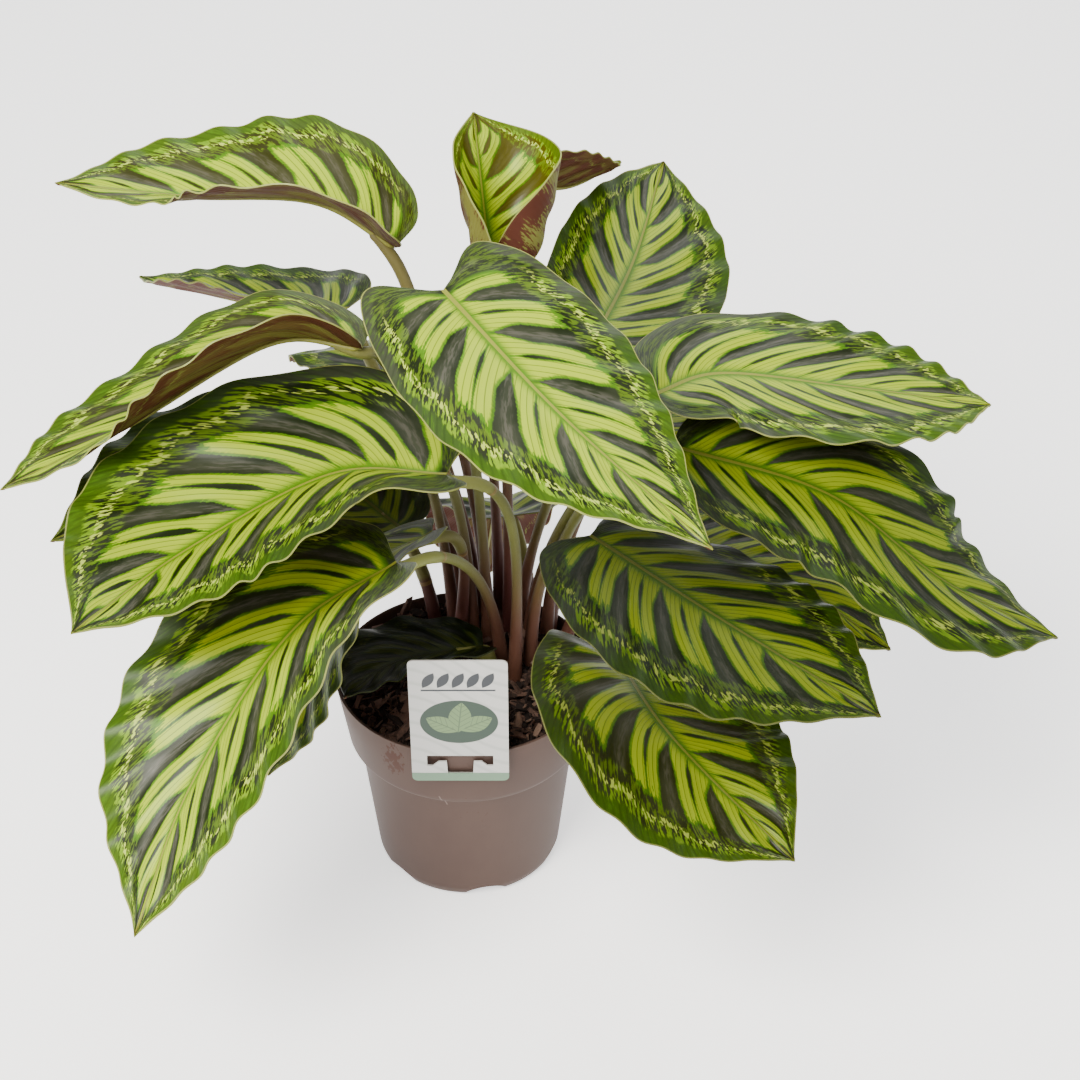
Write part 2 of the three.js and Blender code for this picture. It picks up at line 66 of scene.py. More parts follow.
# Sizes of the plant's form, in the same words and values as its solids
SOIL_TOP = 111 * MM
BLADE_THICKNESS = 0.8 * MM
RIB_DEPTH = 1.2 * MM
VEIN_SPACING_POWER = 1.35
VEIN_CURVE_POWER = 1.2
LOBE_PLACE = 0.1
BASE_BLUNTNESS = 0.8
TIP_SHARPNESS = 0.3
STALK_GAP = 0.3 * MM
STALK_ROOT_DEPTH = 22 * MM
STALK_STRAIGHTNESS = 0.45
STALK_SEATING = 0.7

# How far a stalk runs on under its blade's rib, and how much of its depth below the rib is left there
STALK_RUN_ON = ((5 * MM, 0.6), (10 * MM, 0.25), (16 * MM, 0.0))

# The pot's corners in millimetres: radius, height and rounding, up its outside, down its inside, where
# the wall comes off the radius, and over its floor
POT_RIM_RADIUS = 70
POT_OUTSIDE = ((0, 0, 0), (46.4, 0, 1.5), (49.1, 2.1, 1), (50.6, 6, 1), (50.93, 9, 0), (58.5, 78, 2),
               (64, 82, 2.5), (POT_RIM_RADIUS, 120, 0.5))
POT_INSIDE = ((POT_RIM_RADIUS, 120, 0.5), (64, 83, 1.2), (58.5, 79, 1.2), (51.2, 12, 2))
POT_FLOOR = ((47.4, 9, 1), (0, 9, 0))

# The channels under its base: how many, how far round the first is as a share of the step between two,
# and in millimetres where each starts and ends from the pot's middle, its size, and its drain hole
CHANNELS = 6
FIRST_CHANNEL = 0.2
CHANNEL_START, CHANNEL_END = 24, 56
CHANNEL_WIDTH = 23
CHANNEL_HEIGHT = 7
DRAIN_CIRCLE = 32
DRAIN_RADIUS = 4
DRAIN_LENGTH = 24

# The soil in millimetres: how its top swells, how far its chips reach, and the radius and height of
# its edge and sides
SOIL_MOUND = 4
SOIL_SLOPE = 0.05
SOIL_LUMPS = 1.8
SOIL_ROUGHNESS = 1.6
SOIL_EDGE = 66.4
CHIP_REACH = 66.2
SOIL_SIDES = ((62.0, 84), (56.4, 80), (49.1, 12), (46.9, 9.3), (0, 9.3))

# The one bark chip that stands on end: its place in metres and its lean in radians
STANDING_CHIP = (-35 * MM, 50 * MM, 122 * MM)
STANDING_LEAN = 1.2

# The card leans back, and only its front is printed, which is this far forward at the rim. The print
# is in millimetres from the middle of the card's foot, and a leaf in it has a place, a tilt in
# degrees, half its length, and its width.
CARD_LEAN = math.radians(4)
CARD_FRONT = -70.6
CARD_BAND = 5.6
CARD_OVAL_HEIGHT = 42
CARD_OVAL_REACH = (20, 15)
CARD_LINE_HEIGHT = 63.8
CARD_LINE_REACH = 18.5
CARD_OVAL_LEAVES = (((-8.5, 40), 150, 9.5, 10.5), ((8.5, 40.5), 28, 9.5, 10.5), ((0.5, 45), 84, 10.5, 11.5))
CARD_ROW_LEAVES = tuple(((-15 + 7.5 * k, 70.5), 60, 5.8, 5.2) for k in range(5))

# The photograph's camera: its place in metres, how far it looks down, its focal length and picture in
# pixels, and its sensor in millimetres, and the point that the lights look at
CAMERA_PLACE = (0.040, -0.976, 0.903)
CAMERA_PITCH = math.radians(35.55)
FOCAL_PIXELS = 2322
PHOTO_PIXELS = 1080
SENSOR = 36
LIGHT_TARGET = (0.03, 0, 0.22)

# A blade's dark bands, counted along each half, how far they lean forward from midrib to margin, how
# far those of the two halves are out of step, and how far they wander
BANDS = 6.2
BAND_START = 0.15
BAND_LEAN = 0.17
BAND_STAGGER = 0.3
BAND_DRIFT = 0.3

# Marks of a blade: where its pale bands end and its cream line runs, as a share of the half-blade's
# width, how many fine veins a band has, and how closely the strokes along them lie
PALE_END = 0.58
CREAM_LINE = 0.81
FINE_VEINS = 9
STROKE_COUNT = 150


class Leaf(NamedTuple):
    """One leaf, in millimetres and degrees: where its stalk leaves the soil and bends, its midrib's
    points, the widths of its right and left halves, the blade's roll about the midrib at base and
    tip, how far each half rises (fold) and bends over (curl), how red its stalk is, how far painted
    shade darkens its blade where other leaves shadow it, then the margin's form, how strong the dark
    daggers in its pale bands are, how young it is, and how late it opens flat towards its tip."""

    name: str
    root: tuple
    knee: tuple
    rib: tuple
    halves: tuple
    roll: tuple
    fold: tuple
    curl: tuple
    redness: float
    shade: float
    belly: float = 0.75
    sweep: float = 0.2
    lobe: tuple = (0.1, 0.1)
    waves: int = 8
    wave: float = 2.0
    dagger: float = 0.4
    youth: float = 0.0
    uncurling: float = 3.0


# Each leaf's shade is painted shade: it darkens the blades that lie in the shadow of other leaves
LEAVES = [
    Leaf("front_top", root=(12, 27), knee=(0, 20, 320),
         rib=((-5, -30, 370), (50, -100, 345), (115, -160, 315)), halves=(52, 54), roll=(-15, 10),
         fold=(5, 10), curl=(-20, -15), redness=0.15, shade=0.05, belly=0.7, sweep=0.15, lobe=(0.2, 0.14),
         waves=9, wave=1.5, dagger=0.25),
    Leaf("left_large", root=(26, -2), knee=(40, -20, 265),
         rib=((-5, -50, 280), (-60, -50, 280), (-125, -90, 265), (-170, -155, 265)), halves=(69, 61),
         roll=(-5, 5), fold=(25, 25), curl=(0, -15), redness=0.1, shade=0.15, lobe=(0.12, 0.12), waves=9,
         dagger=0.7),
    Leaf("left_hanging", root=(20, 12), knee=(5, -25, 230),
         rib=((-30, -60, 235), (-80, -90, 215), (-125, -150, 170), (-150, -200, 120)), halves=(58, 57),
         roll=(-15, 5), fold=(20, 25), curl=(0, -10), redness=0.0, shade=0, belly=0.7, lobe=(0.08, 0.08),
         waves=9, wave=2.5, dagger=0.5),
    Leaf("top_left", root=(12, 44), knee=(-10, 30, 285),
         rib=((-30, 30, 360), (-70, 40, 380), (-135, 55, 375), (-195, 40, 390)), halves=(51, 50),
         roll=(5, 5), fold=(20, 40), curl=(0, 0), redness=0.9, shade=0, belly=0.7, sweep=0.15,
         lobe=(0.06, 0.06), waves=9, wave=1.5, dagger=0.3, youth=0.3),
    Leaf("mid_left", root=(-6, 36), knee=(-35, 25, 325),
         rib=((-45, -15, 330), (-90, -10, 330), (-160, -30, 295), (-215, -70, 285)), halves=(50, 52),
         roll=(-5, -5), fold=(5, 40), curl=(0, 0), redness=0.4, shade=0.1, belly=0.7, lobe=(0.04, 0.04),
         waves=9, wave=1.5, dagger=0.3, youth=0.3),
    Leaf("back_left", root=(0, 48), knee=(-40, 65, 240),
         rib=((-60, 75, 300), (-110, 115, 280), (-180, 145, 280)), halves=(44, 45), roll=(5, -15),
         fold=(5, 35), curl=(0, 0), redness=0.5, shade=0.3, sweep=0.25, lobe=(0.08, 0.08), wave=1),
    Leaf("right_top", root=(33, 34), knee=(65, -10, 240),
         rib=((95, -10, 300), (130, 10, 300), (195, 5, 295), (265, 5, 285)), halves=(53, 53),
         roll=(-15, 0), fold=(10, 10), curl=(-5, -20), redness=0.2, shade=0.15, belly=0.7, sweep=0.3,
         lobe=(0.04, 0.04), waves=9, dagger=0.3),
    Leaf("right_large", root=(43, 30), knee=(55, -15, 250),
         rib=((105, -25, 280), (180, -45, 265), (235, -75, 235), (295, -75, 200)), halves=(59, 60),
         roll=(-5, 15), fold=(0, 20), curl=(-15, -15), redness=0.2, shade=0.55, belly=0.8,
         lobe=(0.04, 0.04), waves=9, dagger=0.3),
    Leaf("right_front", root=(34, 10), knee=(40, -5, 210),
         rib=((65, -30, 230), (125, -105, 235), (195, -165, 225)), halves=(57, 55), roll=(0, -5),
         fold=(0, 5), curl=(-10, -25), redness=0.1, shade=0.72, belly=0.8, lobe=(0.12, 0.12), waves=9,
         dagger=0.3),
    Leaf("right_low", root=(43, 16), knee=(70, -15, 155),
         rib=((80, -35, 155), (105, -110, 165), (160, -175, 145)), halves=(64, 56), roll=(25, -15),
         fold=(10, 10), curl=(-5, -20), redness=0.1, shade=0.55, lobe=(0.16, 0.16), waves=9, youth=0.2),
    Leaf("back_top", root=(28, 50), knee=(60, 5, 245),
         rib=((65, 35, 300), (90, 125, 300), (110, 215, 315)), halves=(54, 44), roll=(-5, -20),
         fold=(0, 0), curl=(-15, -15), redness=0.3, shade=0.25, sweep=0.25, wave=1.5, dagger=0.5),
    Leaf("left_under", root=(-5, 24), knee=(10, 15, 205),
         rib=((-15, -5, 215), (-60, -30, 195), (-100, -75, 110)), halves=(42, 42), roll=(-25, 0),
         fold=(5, 15), curl=(-10, -5), redness=0.6, shade=0.4),
    Leaf("soil_small", root=(12, -8), knee=(15, 5, 130),
         rib=((10, -5, 140), (-35, -25, 145), (-60, -60, 150)), halves=(31, 26), roll=(-5, -10),
         fold=(15, 20), curl=(0, 0), redness=0.2, shade=0.93, waves=6, dagger=0.3),
    Leaf("young_rolled", root=(23, 36), knee=(25, 10, 290),
         rib=((18, 20, 330), (13, 35, 375), (8, 55, 420)), halves=(64, 42), roll=(-20, -30),
         fold=(-20, 20), curl=(330, 110), redness=0.8, shade=0, belly=0.9, lobe=(0, 0), waves=6, wave=0.5,
         dagger=0.7, youth=1, uncurling=1.3),
    Leaf("back_right", root=(18, 54), knee=(5, 95, 270),
         rib=((25, 110, 355), (55, 155, 330), (85, 195, 325)), halves=(26, 40), roll=(0, 0), fold=(65, 5),
         curl=(0, 0), redness=0.7, shade=0.1, lobe=(0.08, 0.08), wave=0.8, youth=0.2),
    Leaf("left_behind", root=(4, 28), knee=(0, 25, 260),
         rib=((-30, 15, 255), (-110, -10, 260), (-195, -70, 255)), halves=(55, 50), roll=(0, 0),
         fold=(15, 10), curl=(-10, -20), redness=0.3, shade=0.5),
    Leaf("right_middle", root=(50, 22), knee=(80, 30, 185),
         rib=((105, 15, 200), (165, -10, 190), (220, -40, 165)), halves=(48, 48), roll=(0, 0),
         fold=(10, 10), curl=(-10, -20), redness=0.4, shade=0.3),
    Leaf("inner_left", root=(-16, 44), knee=(-25, 55, 155),
         rib=((-35, 60, 170), (-75, 85, 185), (-125, 120, 165)), halves=(45, 45), roll=(0, 0),
         fold=(10, 10), curl=(-10, -10), redness=0.6, shade=0.7),
    Leaf("back_hanging", root=(38, 44), knee=(30, 65, 155),
         rib=((25, 80, 165), (15, 130, 140), (5, 165, 60)), halves=(40, 40), roll=(0, 0), fold=(10, 10),
         curl=(-10, -10), redness=0.5, shade=0.5),
    Leaf("back_low_right", root=(44, 38), knee=(60, 75, 180),
         rib=((85, 95, 205), (140, 140, 205), (195, 180, 170)), halves=(48, 48), roll=(0, 0),
         fold=(10, 10), curl=(-10, -15), redness=0.4, shade=0.2, dagger=0.5),
    Leaf("back_low_left", root=(8, 54), knee=(-10, 85, 195),
         rib=((-25, 110, 225), (-55, 165, 225), (-80, 220, 185)), halves=(48, 48), roll=(0, 0),
         fold=(10, 10), curl=(-10, -15), redness=0.6, shade=0.2, dagger=0.5),
]


# Sizes and colours that a user would change


def colour(name, text, value):
    """A colour setting."""
    return FloatVectorProperty(name=name, description=text, default=value, subtype="COLOR", min=0, max=1)


def length(name, text, value):
    """A length setting, in metres."""
    return FloatProperty(name=name, description=text, default=value, unit="LENGTH", min=0)


def count(name, text, value, least):
    """A setting for a whole number."""
    return IntProperty(name=name, description=text, default=value, min=least)


def power(name, text, value):
    """A light's power setting, in watts."""
    return FloatProperty(name=name, description=text, default=value, unit="POWER")


class BladeSettings(bpy.types.PropertyGroup):
    """The blades' fineness, thickness and colours."""

    rows: count("Rows", "Steps from a blade's base to its tip", 132, 8)
    columns: count("Columns", "Steps across a blade", 56, 8)
    thickness: length("Thickness", "How thick a blade is", 0.7 * MM)
    quilting: length("Quilting", "How far a blade swells between its dark bands", 1.5 * MM)
    rib_height: length("Rib height", "How far the midrib stands above the upper face", 0.5 * MM)
    deep: colour("Deep green", "The blade's darkest green", (0.008, 0.014, 0.002))
    # Slate mottles the dark bands and is also laid along their middle as painted sheen; sheen is a painted
    # reflection along that middle
    slate: colour("Slate", "The middle of the dark bands", (0.042, 0.048, 0.028))
    sheen: colour("Sheen", "The dull streak along a dark band", (0.100, 0.094, 0.075))
    green: colour("Green", "The strokes beside the pale bands", (0.080, 0.215, 0.0015))
    pale: colour("Pale", "The pale bands", (0.380, 0.500, 0.012))
    cream: colour("Cream", "The broken line inside the margin", (0.430, 0.540, 0.070))
    margin: colour("Margin", "The blade's margin", (0.030, 0.082, 0.002))
    olive: colour("Olive", "The margin towards the tip and on young blades", (0.080, 0.135, 0.001))
    # The colour that painted shade darkens the blades towards, where they lie in the shadow of other leaves
    painted_shade: colour("Dusk", "What the darkest blades turn to", (0.002, 0.004, 0.001))
    bronze: colour("Bronze", "The dark bands of young blades", (0.075, 0.065, 0.001))
    rib: colour("Rib", "The midrib", (0.240, 0.260, 0.030))
    edge: colour("Edge", "The thin line along the edge", (0.300, 0.320, 0.080))
    wine: colour("Wine", "The underside's dark parts", (0.045, 0.010, 0.006))
    rose: colour("Rose", "The underside's lighter parts", (0.085, 0.028, 0.014))
    moss: colour("Moss", "The underside's pale bands", (0.150, 0.160, 0.030))


class StalkSettings(bpy.types.PropertyGroup):
    """The stalks' sizes and colours."""

    radius: length("Radius", "Half the stalk's thickness", 2.9 * MM)
    sides: count("Sides", "Steps round a stalk", 14, 6)
    steps: count("Steps", "Steps along a stalk", 90, 10)
    joint: length("Joint", "How far below the blade the swollen joint begins", 30 * MM)
    sheath: length("Sheath", "How far the sheath reaches above the soil", 75 * MM)
    olive: colour("Olive", "The stalk's own green", (0.110, 0.115, 0.028))
    fresh: colour("Fresh", "The swollen joint below the blade", (0.170, 0.185, 0.045))
    maroon: colour("Maroon", "The sheath and the red stalks", (0.085, 0.022, 0.022))
    tan: colour("Tan", "The ring at the joint", (0.190, 0.120, 0.040))


class PotSettings(bpy.types.PropertyGroup):
    """The pot's sizes and colour."""

    segments: count("Segments", "Steps round the pot", 160, 24)
    wall: length("Wall", "The pot's wall", 1.6 * MM)
    taupe: colour("Taupe", "The pot's plastic", (0.060, 0.034, 0.026))
    dust: colour("Dust", "Dry dust on the plastic", (0.086, 0.055, 0.043))
    crumbs: colour("Crumbs", "Dried crumbs on the plastic", (0.048, 0.014, 0.006))
    scratch: colour("Scratch", "A scratch in the plastic", (0.150, 0.110, 0.095))


class SoilSettings(bpy.types.PropertyGroup):
    """The bark soil's chips and colours."""

    chips: count("Chips", "Bark chips on the soil", 2200, 1)
    longest: length("Longest chip", "The length of the largest chips", 18 * MM)
    dark: colour("Dark", "The darkest bark", (0.014, 0.008, 0.006))
    brown: colour("Brown", "Most of the bark", (0.120, 0.068, 0.050))
    straw: colour("Straw", "The few light chips", (0.240, 0.165, 0.120))


class CardSettings(bpy.types.PropertyGroup):
    """The card's colours."""

    ground: colour("Ground", "The card's white", (0.430, 0.430, 0.410))
    shade: colour("Shade", "The faint stripes", (0.270, 0.285, 0.260))
    band: colour("Band", "The green band at the foot", (0.110, 0.190, 0.120))
    leaf: colour("Leaf", "The leaves in the oval", (0.110, 0.180, 0.070))
    shadow: colour("Shadow", "The oval's dark ground", (0.008, 0.030, 0.015))
    slate: colour("Slate", "The row of leaves and the line", (0.012, 0.016, 0.022))


class StageSettings(bpy.types.PropertyGroup):
    """The floor, the lights and the camera."""

    floor: colour("Floor", "The pale floor", (0.92, 0.92, 0.92))
    floor_glow: FloatProperty(name="Floor glow", description="The floor's own light", default=1.2)
    floor_size: length("Floor size", "Half the floor's width", 6.0)
    key_power: power("Key light", "The large front light", 110)
    fill_power: power("Fill light", "The light from the right", 12)
    back_power: power("Back light", "The light from behind", 20)
    ambient: FloatProperty(name="Ambient", description="The even light from all round", default=0.6)


# Shader maths


class Field:
    """A number that varies over a surface. Arithmetic on it adds Math nodes to its material."""

    def __init__(self, paint, socket):
        self.paint = paint
        self.socket = socket

    def math(self, operation, *values):
        """The result of a Math node with those values."""
        node = self.paint.node("ShaderNodeMath", {"operation": operation}, dict(enumerate(values)))
        return Field(self.paint, node.outputs[0])

    def __add__(self, other):
        return self.math("ADD", self, other)

    def __radd__(self, other):
        return self.math("ADD", other, self)

    def __sub__(self, other):
        return self.math("SUBTRACT", self, other)

    def __rsub__(self, other):
        return self.math("SUBTRACT", other, self)

    def __mul__(self, other):
        return self.math("MULTIPLY", self, other)

    def __rmul__(self, other):
        return self.math("MULTIPLY", other, self)

    def __truediv__(self, other):
        return self.math("DIVIDE", self, other)

    def __abs__(self):
        return self.math("ABSOLUTE", self)

    def fraction(self):
        """What is left above the whole number below it."""
        return self.math("FRACT", self)

    def sine(self):
        return self.math("SINE", self)

    def most(self, other):
        """The larger of the two."""
        return self.math("MAXIMUM", self, other)

    def rises(self, low, high):
        """0 below low and 1 above high, with a smooth step between."""
        settings = {"interpolation_type": "SMOOTHSTEP"}
        inputs = {"Value": self, "From Min": low, "From Max": high, "To Min": 0.0, "To Max": 1.0}
        return Field(self.paint, self.paint.node("ShaderNodeMapRange", settings, inputs).outputs[0])

    def falls(self, low, high):
        """1 below low and 0 above high, with a smooth step between."""
        return 1 - self.rises(low, high)

    def within(self, low, high, soft):
        """1 between low and high, fading to 0 over soft on each side."""
        return self.rises(low - soft, low) * self.falls(high, high + soft)


class Paint:
    """One procedural material and the plain calls that build it."""

    def __init__(self, name):
        self.material = bpy.data.materials.new(name)
        self.material.use_nodes = True
        self.nodes = self.material.node_tree.nodes
        self.links = self.material.node_tree.links
        self.nodes.clear()

    def node(self, kind, settings=None, inputs=None):
        """Adds a node, makes its settings, then fills its sockets with values or links."""
        node = self.nodes.new(kind)
        for key, value in (settings or {}).items():
            setattr(node, key, value)
        for key, value in (inputs or {}).items():
            if isinstance(value, Field):
                self.links.new(value.socket, node.inputs[key])
            elif isinstance(value, bpy.types.NodeSocket):
                self.links.new(value, node.inputs[key])
            else:
                node.inputs[key].default_value = value
        return node

    def attribute(self, name):
        """A number kept on the mesh's corners."""
        node = self.node("ShaderNodeAttribute", {"attribute_type": "GEOMETRY", "attribute_name": name})
        return Field(self, node.outputs["Fac"])

    def _parts(self, socket):
        """The three numbers of a vector."""
        split = self.node("ShaderNodeSeparateXYZ", inputs={"Vector": socket})
        return [Field(self, output) for output in split.outputs]

    def uv(self):
        """The piece's own two surface coordinates."""
        return self._parts(self.node("ShaderNodeUVMap", {"uv_map": "UVMap"}).outputs["UV"])[:2]

    def place(self):
        """The point's place on the object, in metres."""
        return self._parts(self.node("ShaderNodeTexCoord").outputs["Object"])

    def vector(self, x, y, z):
        """A vector of three numbers or fields."""
        return self.node("ShaderNodeCombineXYZ", inputs={0: x, 1: y, 2: z}).outputs[0]

    def grain(self, place, fineness, detail=2.0, roughness=0.5):
        """Even noise through the whole piece."""
        return self.noise(self.vector(*(part * fineness for part in place)), detail, roughness)

    def noise(self, vector, detail=2.0, roughness=0.5):
        """Cloudy noise about 0.5."""
        inputs = {"Vector": vector, "Scale": 1.0, "Detail": detail, "Roughness": roughness}
        return Field(self, self.node("ShaderNodeTexNoise", inputs=inputs).outputs[0])

    def cells(self, vector, scale):
        """The distance to the nearest of scattered points."""
        inputs = {"Vector": vector, "Scale": scale}
        return Field(self, self.node("ShaderNodeTexVoronoi", inputs=inputs).outputs["Distance"])

    def mix(self, factor, below, above):
        """The colour below, covered by the colour above as far as factor says."""
        inputs = {0: factor, 6: self._opaque(below), 7: self._opaque(above)}
        return self.node("ShaderNodeMix", {"data_type": "RGBA"}, inputs).outputs[2]

    def _opaque(self, value):
        return value if isinstance(value, bpy.types.NodeSocket) else (*value, 1.0)

    def bump(self, height, distance, strength=1.0):
        """A normal for small relief of that height, in metres."""
        inputs = {"Height": height, "Distance": distance, "Strength": strength}
        return self.node("ShaderNodeBump", inputs=inputs).outputs[0]

    def surface(self, inputs, glow=0.0, glow_colour=(1, 1, 1)):
        """Ends the material with a Principled surface, thinned by a share of light that shines through."""
        shader = self.node("ShaderNodeBsdfPrincipled", inputs=inputs).outputs[0]
        if glow:
            through = self.node("ShaderNodeBsdfTranslucent", inputs={"Color": (*glow_colour, 1.0)}).outputs[0]
            shader = self.node("ShaderNodeMixShader", inputs={0: glow, 1: shader, 2: through}).outputs[0]
        self.node("ShaderNodeOutputMaterial", inputs={"Surface": shader})
        return self.material


# The plant's form, which follows the same rules as its solids


class Blade:
    """The form of one blade: its midrib's curve, and the surface that spreads from it."""

    steps = 160

    def __init__(self, leaf):
        self.leaf = leaf
        points = [Vector(point) * MM for point in leaf.rib]
        first, last = 2 * points[0] - points[1], 2 * points[-1] - points[-2]
        self.knots = [first, *points, last]
        self.spans = len(points) - 1
        self.curve = [self._curve(self.spans * k / self.steps) for k in range(self.steps + 1)]
        self.lengths = [0.0]
        for (start, _), (end, _) in zip(self.curve, self.curve[1:]):
            self.lengths.append(self.lengths[-1] + (end - start).length)
        self.length = self.lengths[-1]
        heading = points[-1] - points[0]
        heading.z = 0
        self.side = heading.normalized().cross(UP)

    def _curve(self, t):
        """The smooth curve's point and direction, t spans from its start."""
        span = min(int(t), self.spans - 1)
        t -= span
        before, start, end, after = self.knots[span:span + 4]
        leave, arrive = (end - before) / 2, (after - start) / 2
        cubic = 2 * (start - end) + leave + arrive
        square = 3 * (end - start) - 2 * leave - arrive
        point = ((cubic * t + square) * t + leave) * t + start
        direction = (3 * cubic * t + 2 * square) * t + leave
        return point, direction.normalized()

    def rib(self, length):
        """The midrib's point and its three directions at that length, or straight back behind it."""
        inside = min(max(length, 0.0), self.length)
        k = min(max(bisect.bisect_right(self.lengths, inside) - 1, 0), self.steps - 1)
        part = (inside - self.lengths[k]) / (self.lengths[k + 1] - self.lengths[k])
        (start, first), (end, last) = self.curve[k], self.curve[k + 1]
        along = first.lerp(last, part).normalized()
        point = start.lerp(end, part) + along * min(length, 0.0)
        side = (self.side - along * self.side.dot(along)).normalized()
        rise = side.cross(along)
        base, tip = self.leaf.roll
        roll = math.radians(base + (tip - base) * inside / self.length)
        right = side * math.cos(roll) + rise * math.sin(roll)
        normal = rise * math.cos(roll) - side * math.sin(roll)
        return point, along, right, normal

    def reach(self, x, t):
        """How wide the half-blade is where vein x meets the margin."""
        width = self.leaf.halves[0 if t >= 0 else 1] * MM
        inside = max(math.sin(math.pi * x ** self.leaf.belly), 0.0)
        return width * inside ** (BASE_BLUNTNESS + TIP_SHARPNESS * x)

    def point(self, x, t):
        """A point of the upper face on vein x, t of the way from the midrib to the margin."""
        leaf = self.leaf
        hand, half = (1, 0) if t >= 0 else (-1, 1)
        out = abs(t)
        opening = 1 - x ** leaf.uncurling
        fold = math.radians(leaf.fold[half]) * opening
        curl = math.radians(leaf.curl[half]) * opening or 1e-3
        reach = self.reach(x, t)
        lobe = leaf.lobe[half] * x / LOBE_PLACE * math.exp(1 - x / LOBE_PLACE)
        advance = leaf.sweep * math.sin(math.pi * x) - lobe
        length = self.length * (x ** VEIN_SPACING_POWER + advance * out ** VEIN_CURVE_POWER)
        wave = leaf.wave * MM * math.cos(math.tau * leaf.waves * x) * hand * out ** 2 * math.sin(math.pi * x)
        sideways = reach * (math.sin(fold + curl * out) - math.sin(fold)) / curl
        upwards = reach * (math.cos(fold) - math.cos(fold + curl * out)) / curl + wave
        point, _, right, normal = self.rib(length)
        return point + right * hand * sideways + normal * upwards

    def under_rib(self, length, depth):
        """The point that lies depth under the midrib at that length."""
        point, _, _, normal = self.rib(length)
        return point - normal * depth


class Stalk:
    """The form of one stalk, from its hole in the soil to the underside of its blade's base."""

    def __init__(self, blade, radius):
        leaf = blade.leaf
        base, _, _, normal = blade.rib(0)
        knee = Vector(leaf.knee) * MM
        rise = abs((base - knee).normalized().dot(normal))
        clearance = STALK_GAP + radius * math.sqrt(1 - rise ** 2) * (1 - STALK_SEATING * rise)
        end = base - normal * (BLADE_THICKNESS + RIB_DEPTH + clearance)
        root = Vector((leaf.root[0] * MM, leaf.root[1] * MM, SOIL_TOP - STALK_ROOT_DEPTH))
        low = root + UP * STALK_STRAIGHTNESS * (end - root).length
        self.bends = (root, low, knee, end)

    def point(self, t):
        """The point of its middle line t of the way up, from 0 to 1."""
        root, low, knee, end = self.bends
        rest = 1 - t
        return rest ** 3 * root + 3 * rest ** 2 * t * low + 3 * rest * t ** 2 * knee + t ** 3 * end


def soil_height(x, y):
    """The soil's lumpy top, as in its solid, for a place in millimetres."""
    radius = math.hypot(x, y) / POT_RIM_RADIUS
    mound = SOIL_MOUND * (1 - radius ** 2) + SOIL_SLOPE * y
    lumps = math.sin(0.33 * x + 0.9) * math.sin(0.29 * y + 0.4)
    ripples = math.sin(0.57 * x - 0.41 * y)
    return SOIL_TOP + (mound + SOIL_LUMPS * (lumps + 0.6 * ripples)) * MM


# Mesh building


def add_grid(bm, columns, rows, place):
    """Adds a grid whose corner (across, along), each from 0 to 1, lies at place(across, along), and
    says where on the grid each of its verts is."""
    verts = bmesh.ops.create_grid(bm, x_segments=columns, y_segments=rows, size=0.5, calc_uvs=True)["verts"]
    spots = {vert: (vert.co.x + 0.5, vert.co.y + 0.5) for vert in verts}
    for vert, spot in spots.items():
        vert.co = place(*spot)
    return spots


def even_points(points, count):
    """The same line in count equal steps, and its length."""
    lengths = [0.0]
    for start, end in zip(points, points[1:]):
        lengths.append(lengths[-1] + (end - start).length)
    even = []
    for k in range(count + 1):
        goal = lengths[-1] * k / count
        i = min(max(bisect.bisect_left(lengths, goal), 1), len(points) - 1)
        part = (goal - lengths[i - 1]) / (lengths[i] - lengths[i - 1])
        even.append(points[i - 1].lerp(points[i], part))
    return even, lengths[-1]


def add_tube(bm, points, sides, radius):
    """Adds a closed tube along the points. radius(share) is its radius at that share of its length."""
    rings = []
    across = Vector((1, 0, 0))
    for k, point in enumerate(points):
        along = (points[min(k + 1, len(points) - 1)] - points[max(k - 1, 0)]).normalized()
        across = (across - along * across.dot(along)).normalized()
        rings.append((point, across, along.cross(across)))
    last = len(points) - 1

    def place(turn, share):
        k = round(share * last)
        point, first, second = rings[k]
        angle = math.tau * turn
        reach = 0.0 if k in (0, last) else radius(share)
        return point + (first * math.cos(angle) + second * math.sin(angle)) * reach

    return add_grid(bm, sides, last, place)


def tag(bm, spots, **values):
    """Keeps numbers on the verts, each a plain value or worked out from the vert's spot on its grid."""
    for name, value in values.items():
        layer = bm.verts.layers.float[name]
        for vert, spot in spots.items():
            vert[layer] = value(*spot) if callable(value) else value


def start_mesh(*numbers):
    """A new mesh with surface coordinates, and room for the numbers that its material reads."""
    bm = bmesh.new()
    bm.loops.layers.uv.new("UVMap")
    for name in numbers:
        bm.verts.layers.float.new(name)
    return bm


def add_object(bm, name, *materials):
    """Makes the mesh an object of the scene."""
    mesh = bpy.data.meshes.new(name)
    bm.to_mesh(mesh)
    bm.free()
    for material in materials:
        mesh.materials.append(material)
    made = bpy.data.objects.new(name, mesh)
    bpy.context.collection.objects.link(made)
    return made


def finish_piece(bm, name, materials, slot, *nodes, crease=60):
    """Makes the mesh a named piece that rides on the root and stands for the CAD nodes. Edges sharper
    than crease, in degrees, stay sharp."""
    for face in bm.faces:
        face.smooth = True
    for edge in bm.edges:
        edge.smooth = edge.calc_face_angle(math.pi) < math.radians(crease)
    piece = add_object(bm, name, *materials)
    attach(piece, "root")
    if nodes:
        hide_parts(*nodes)
    return piece


# Finishes


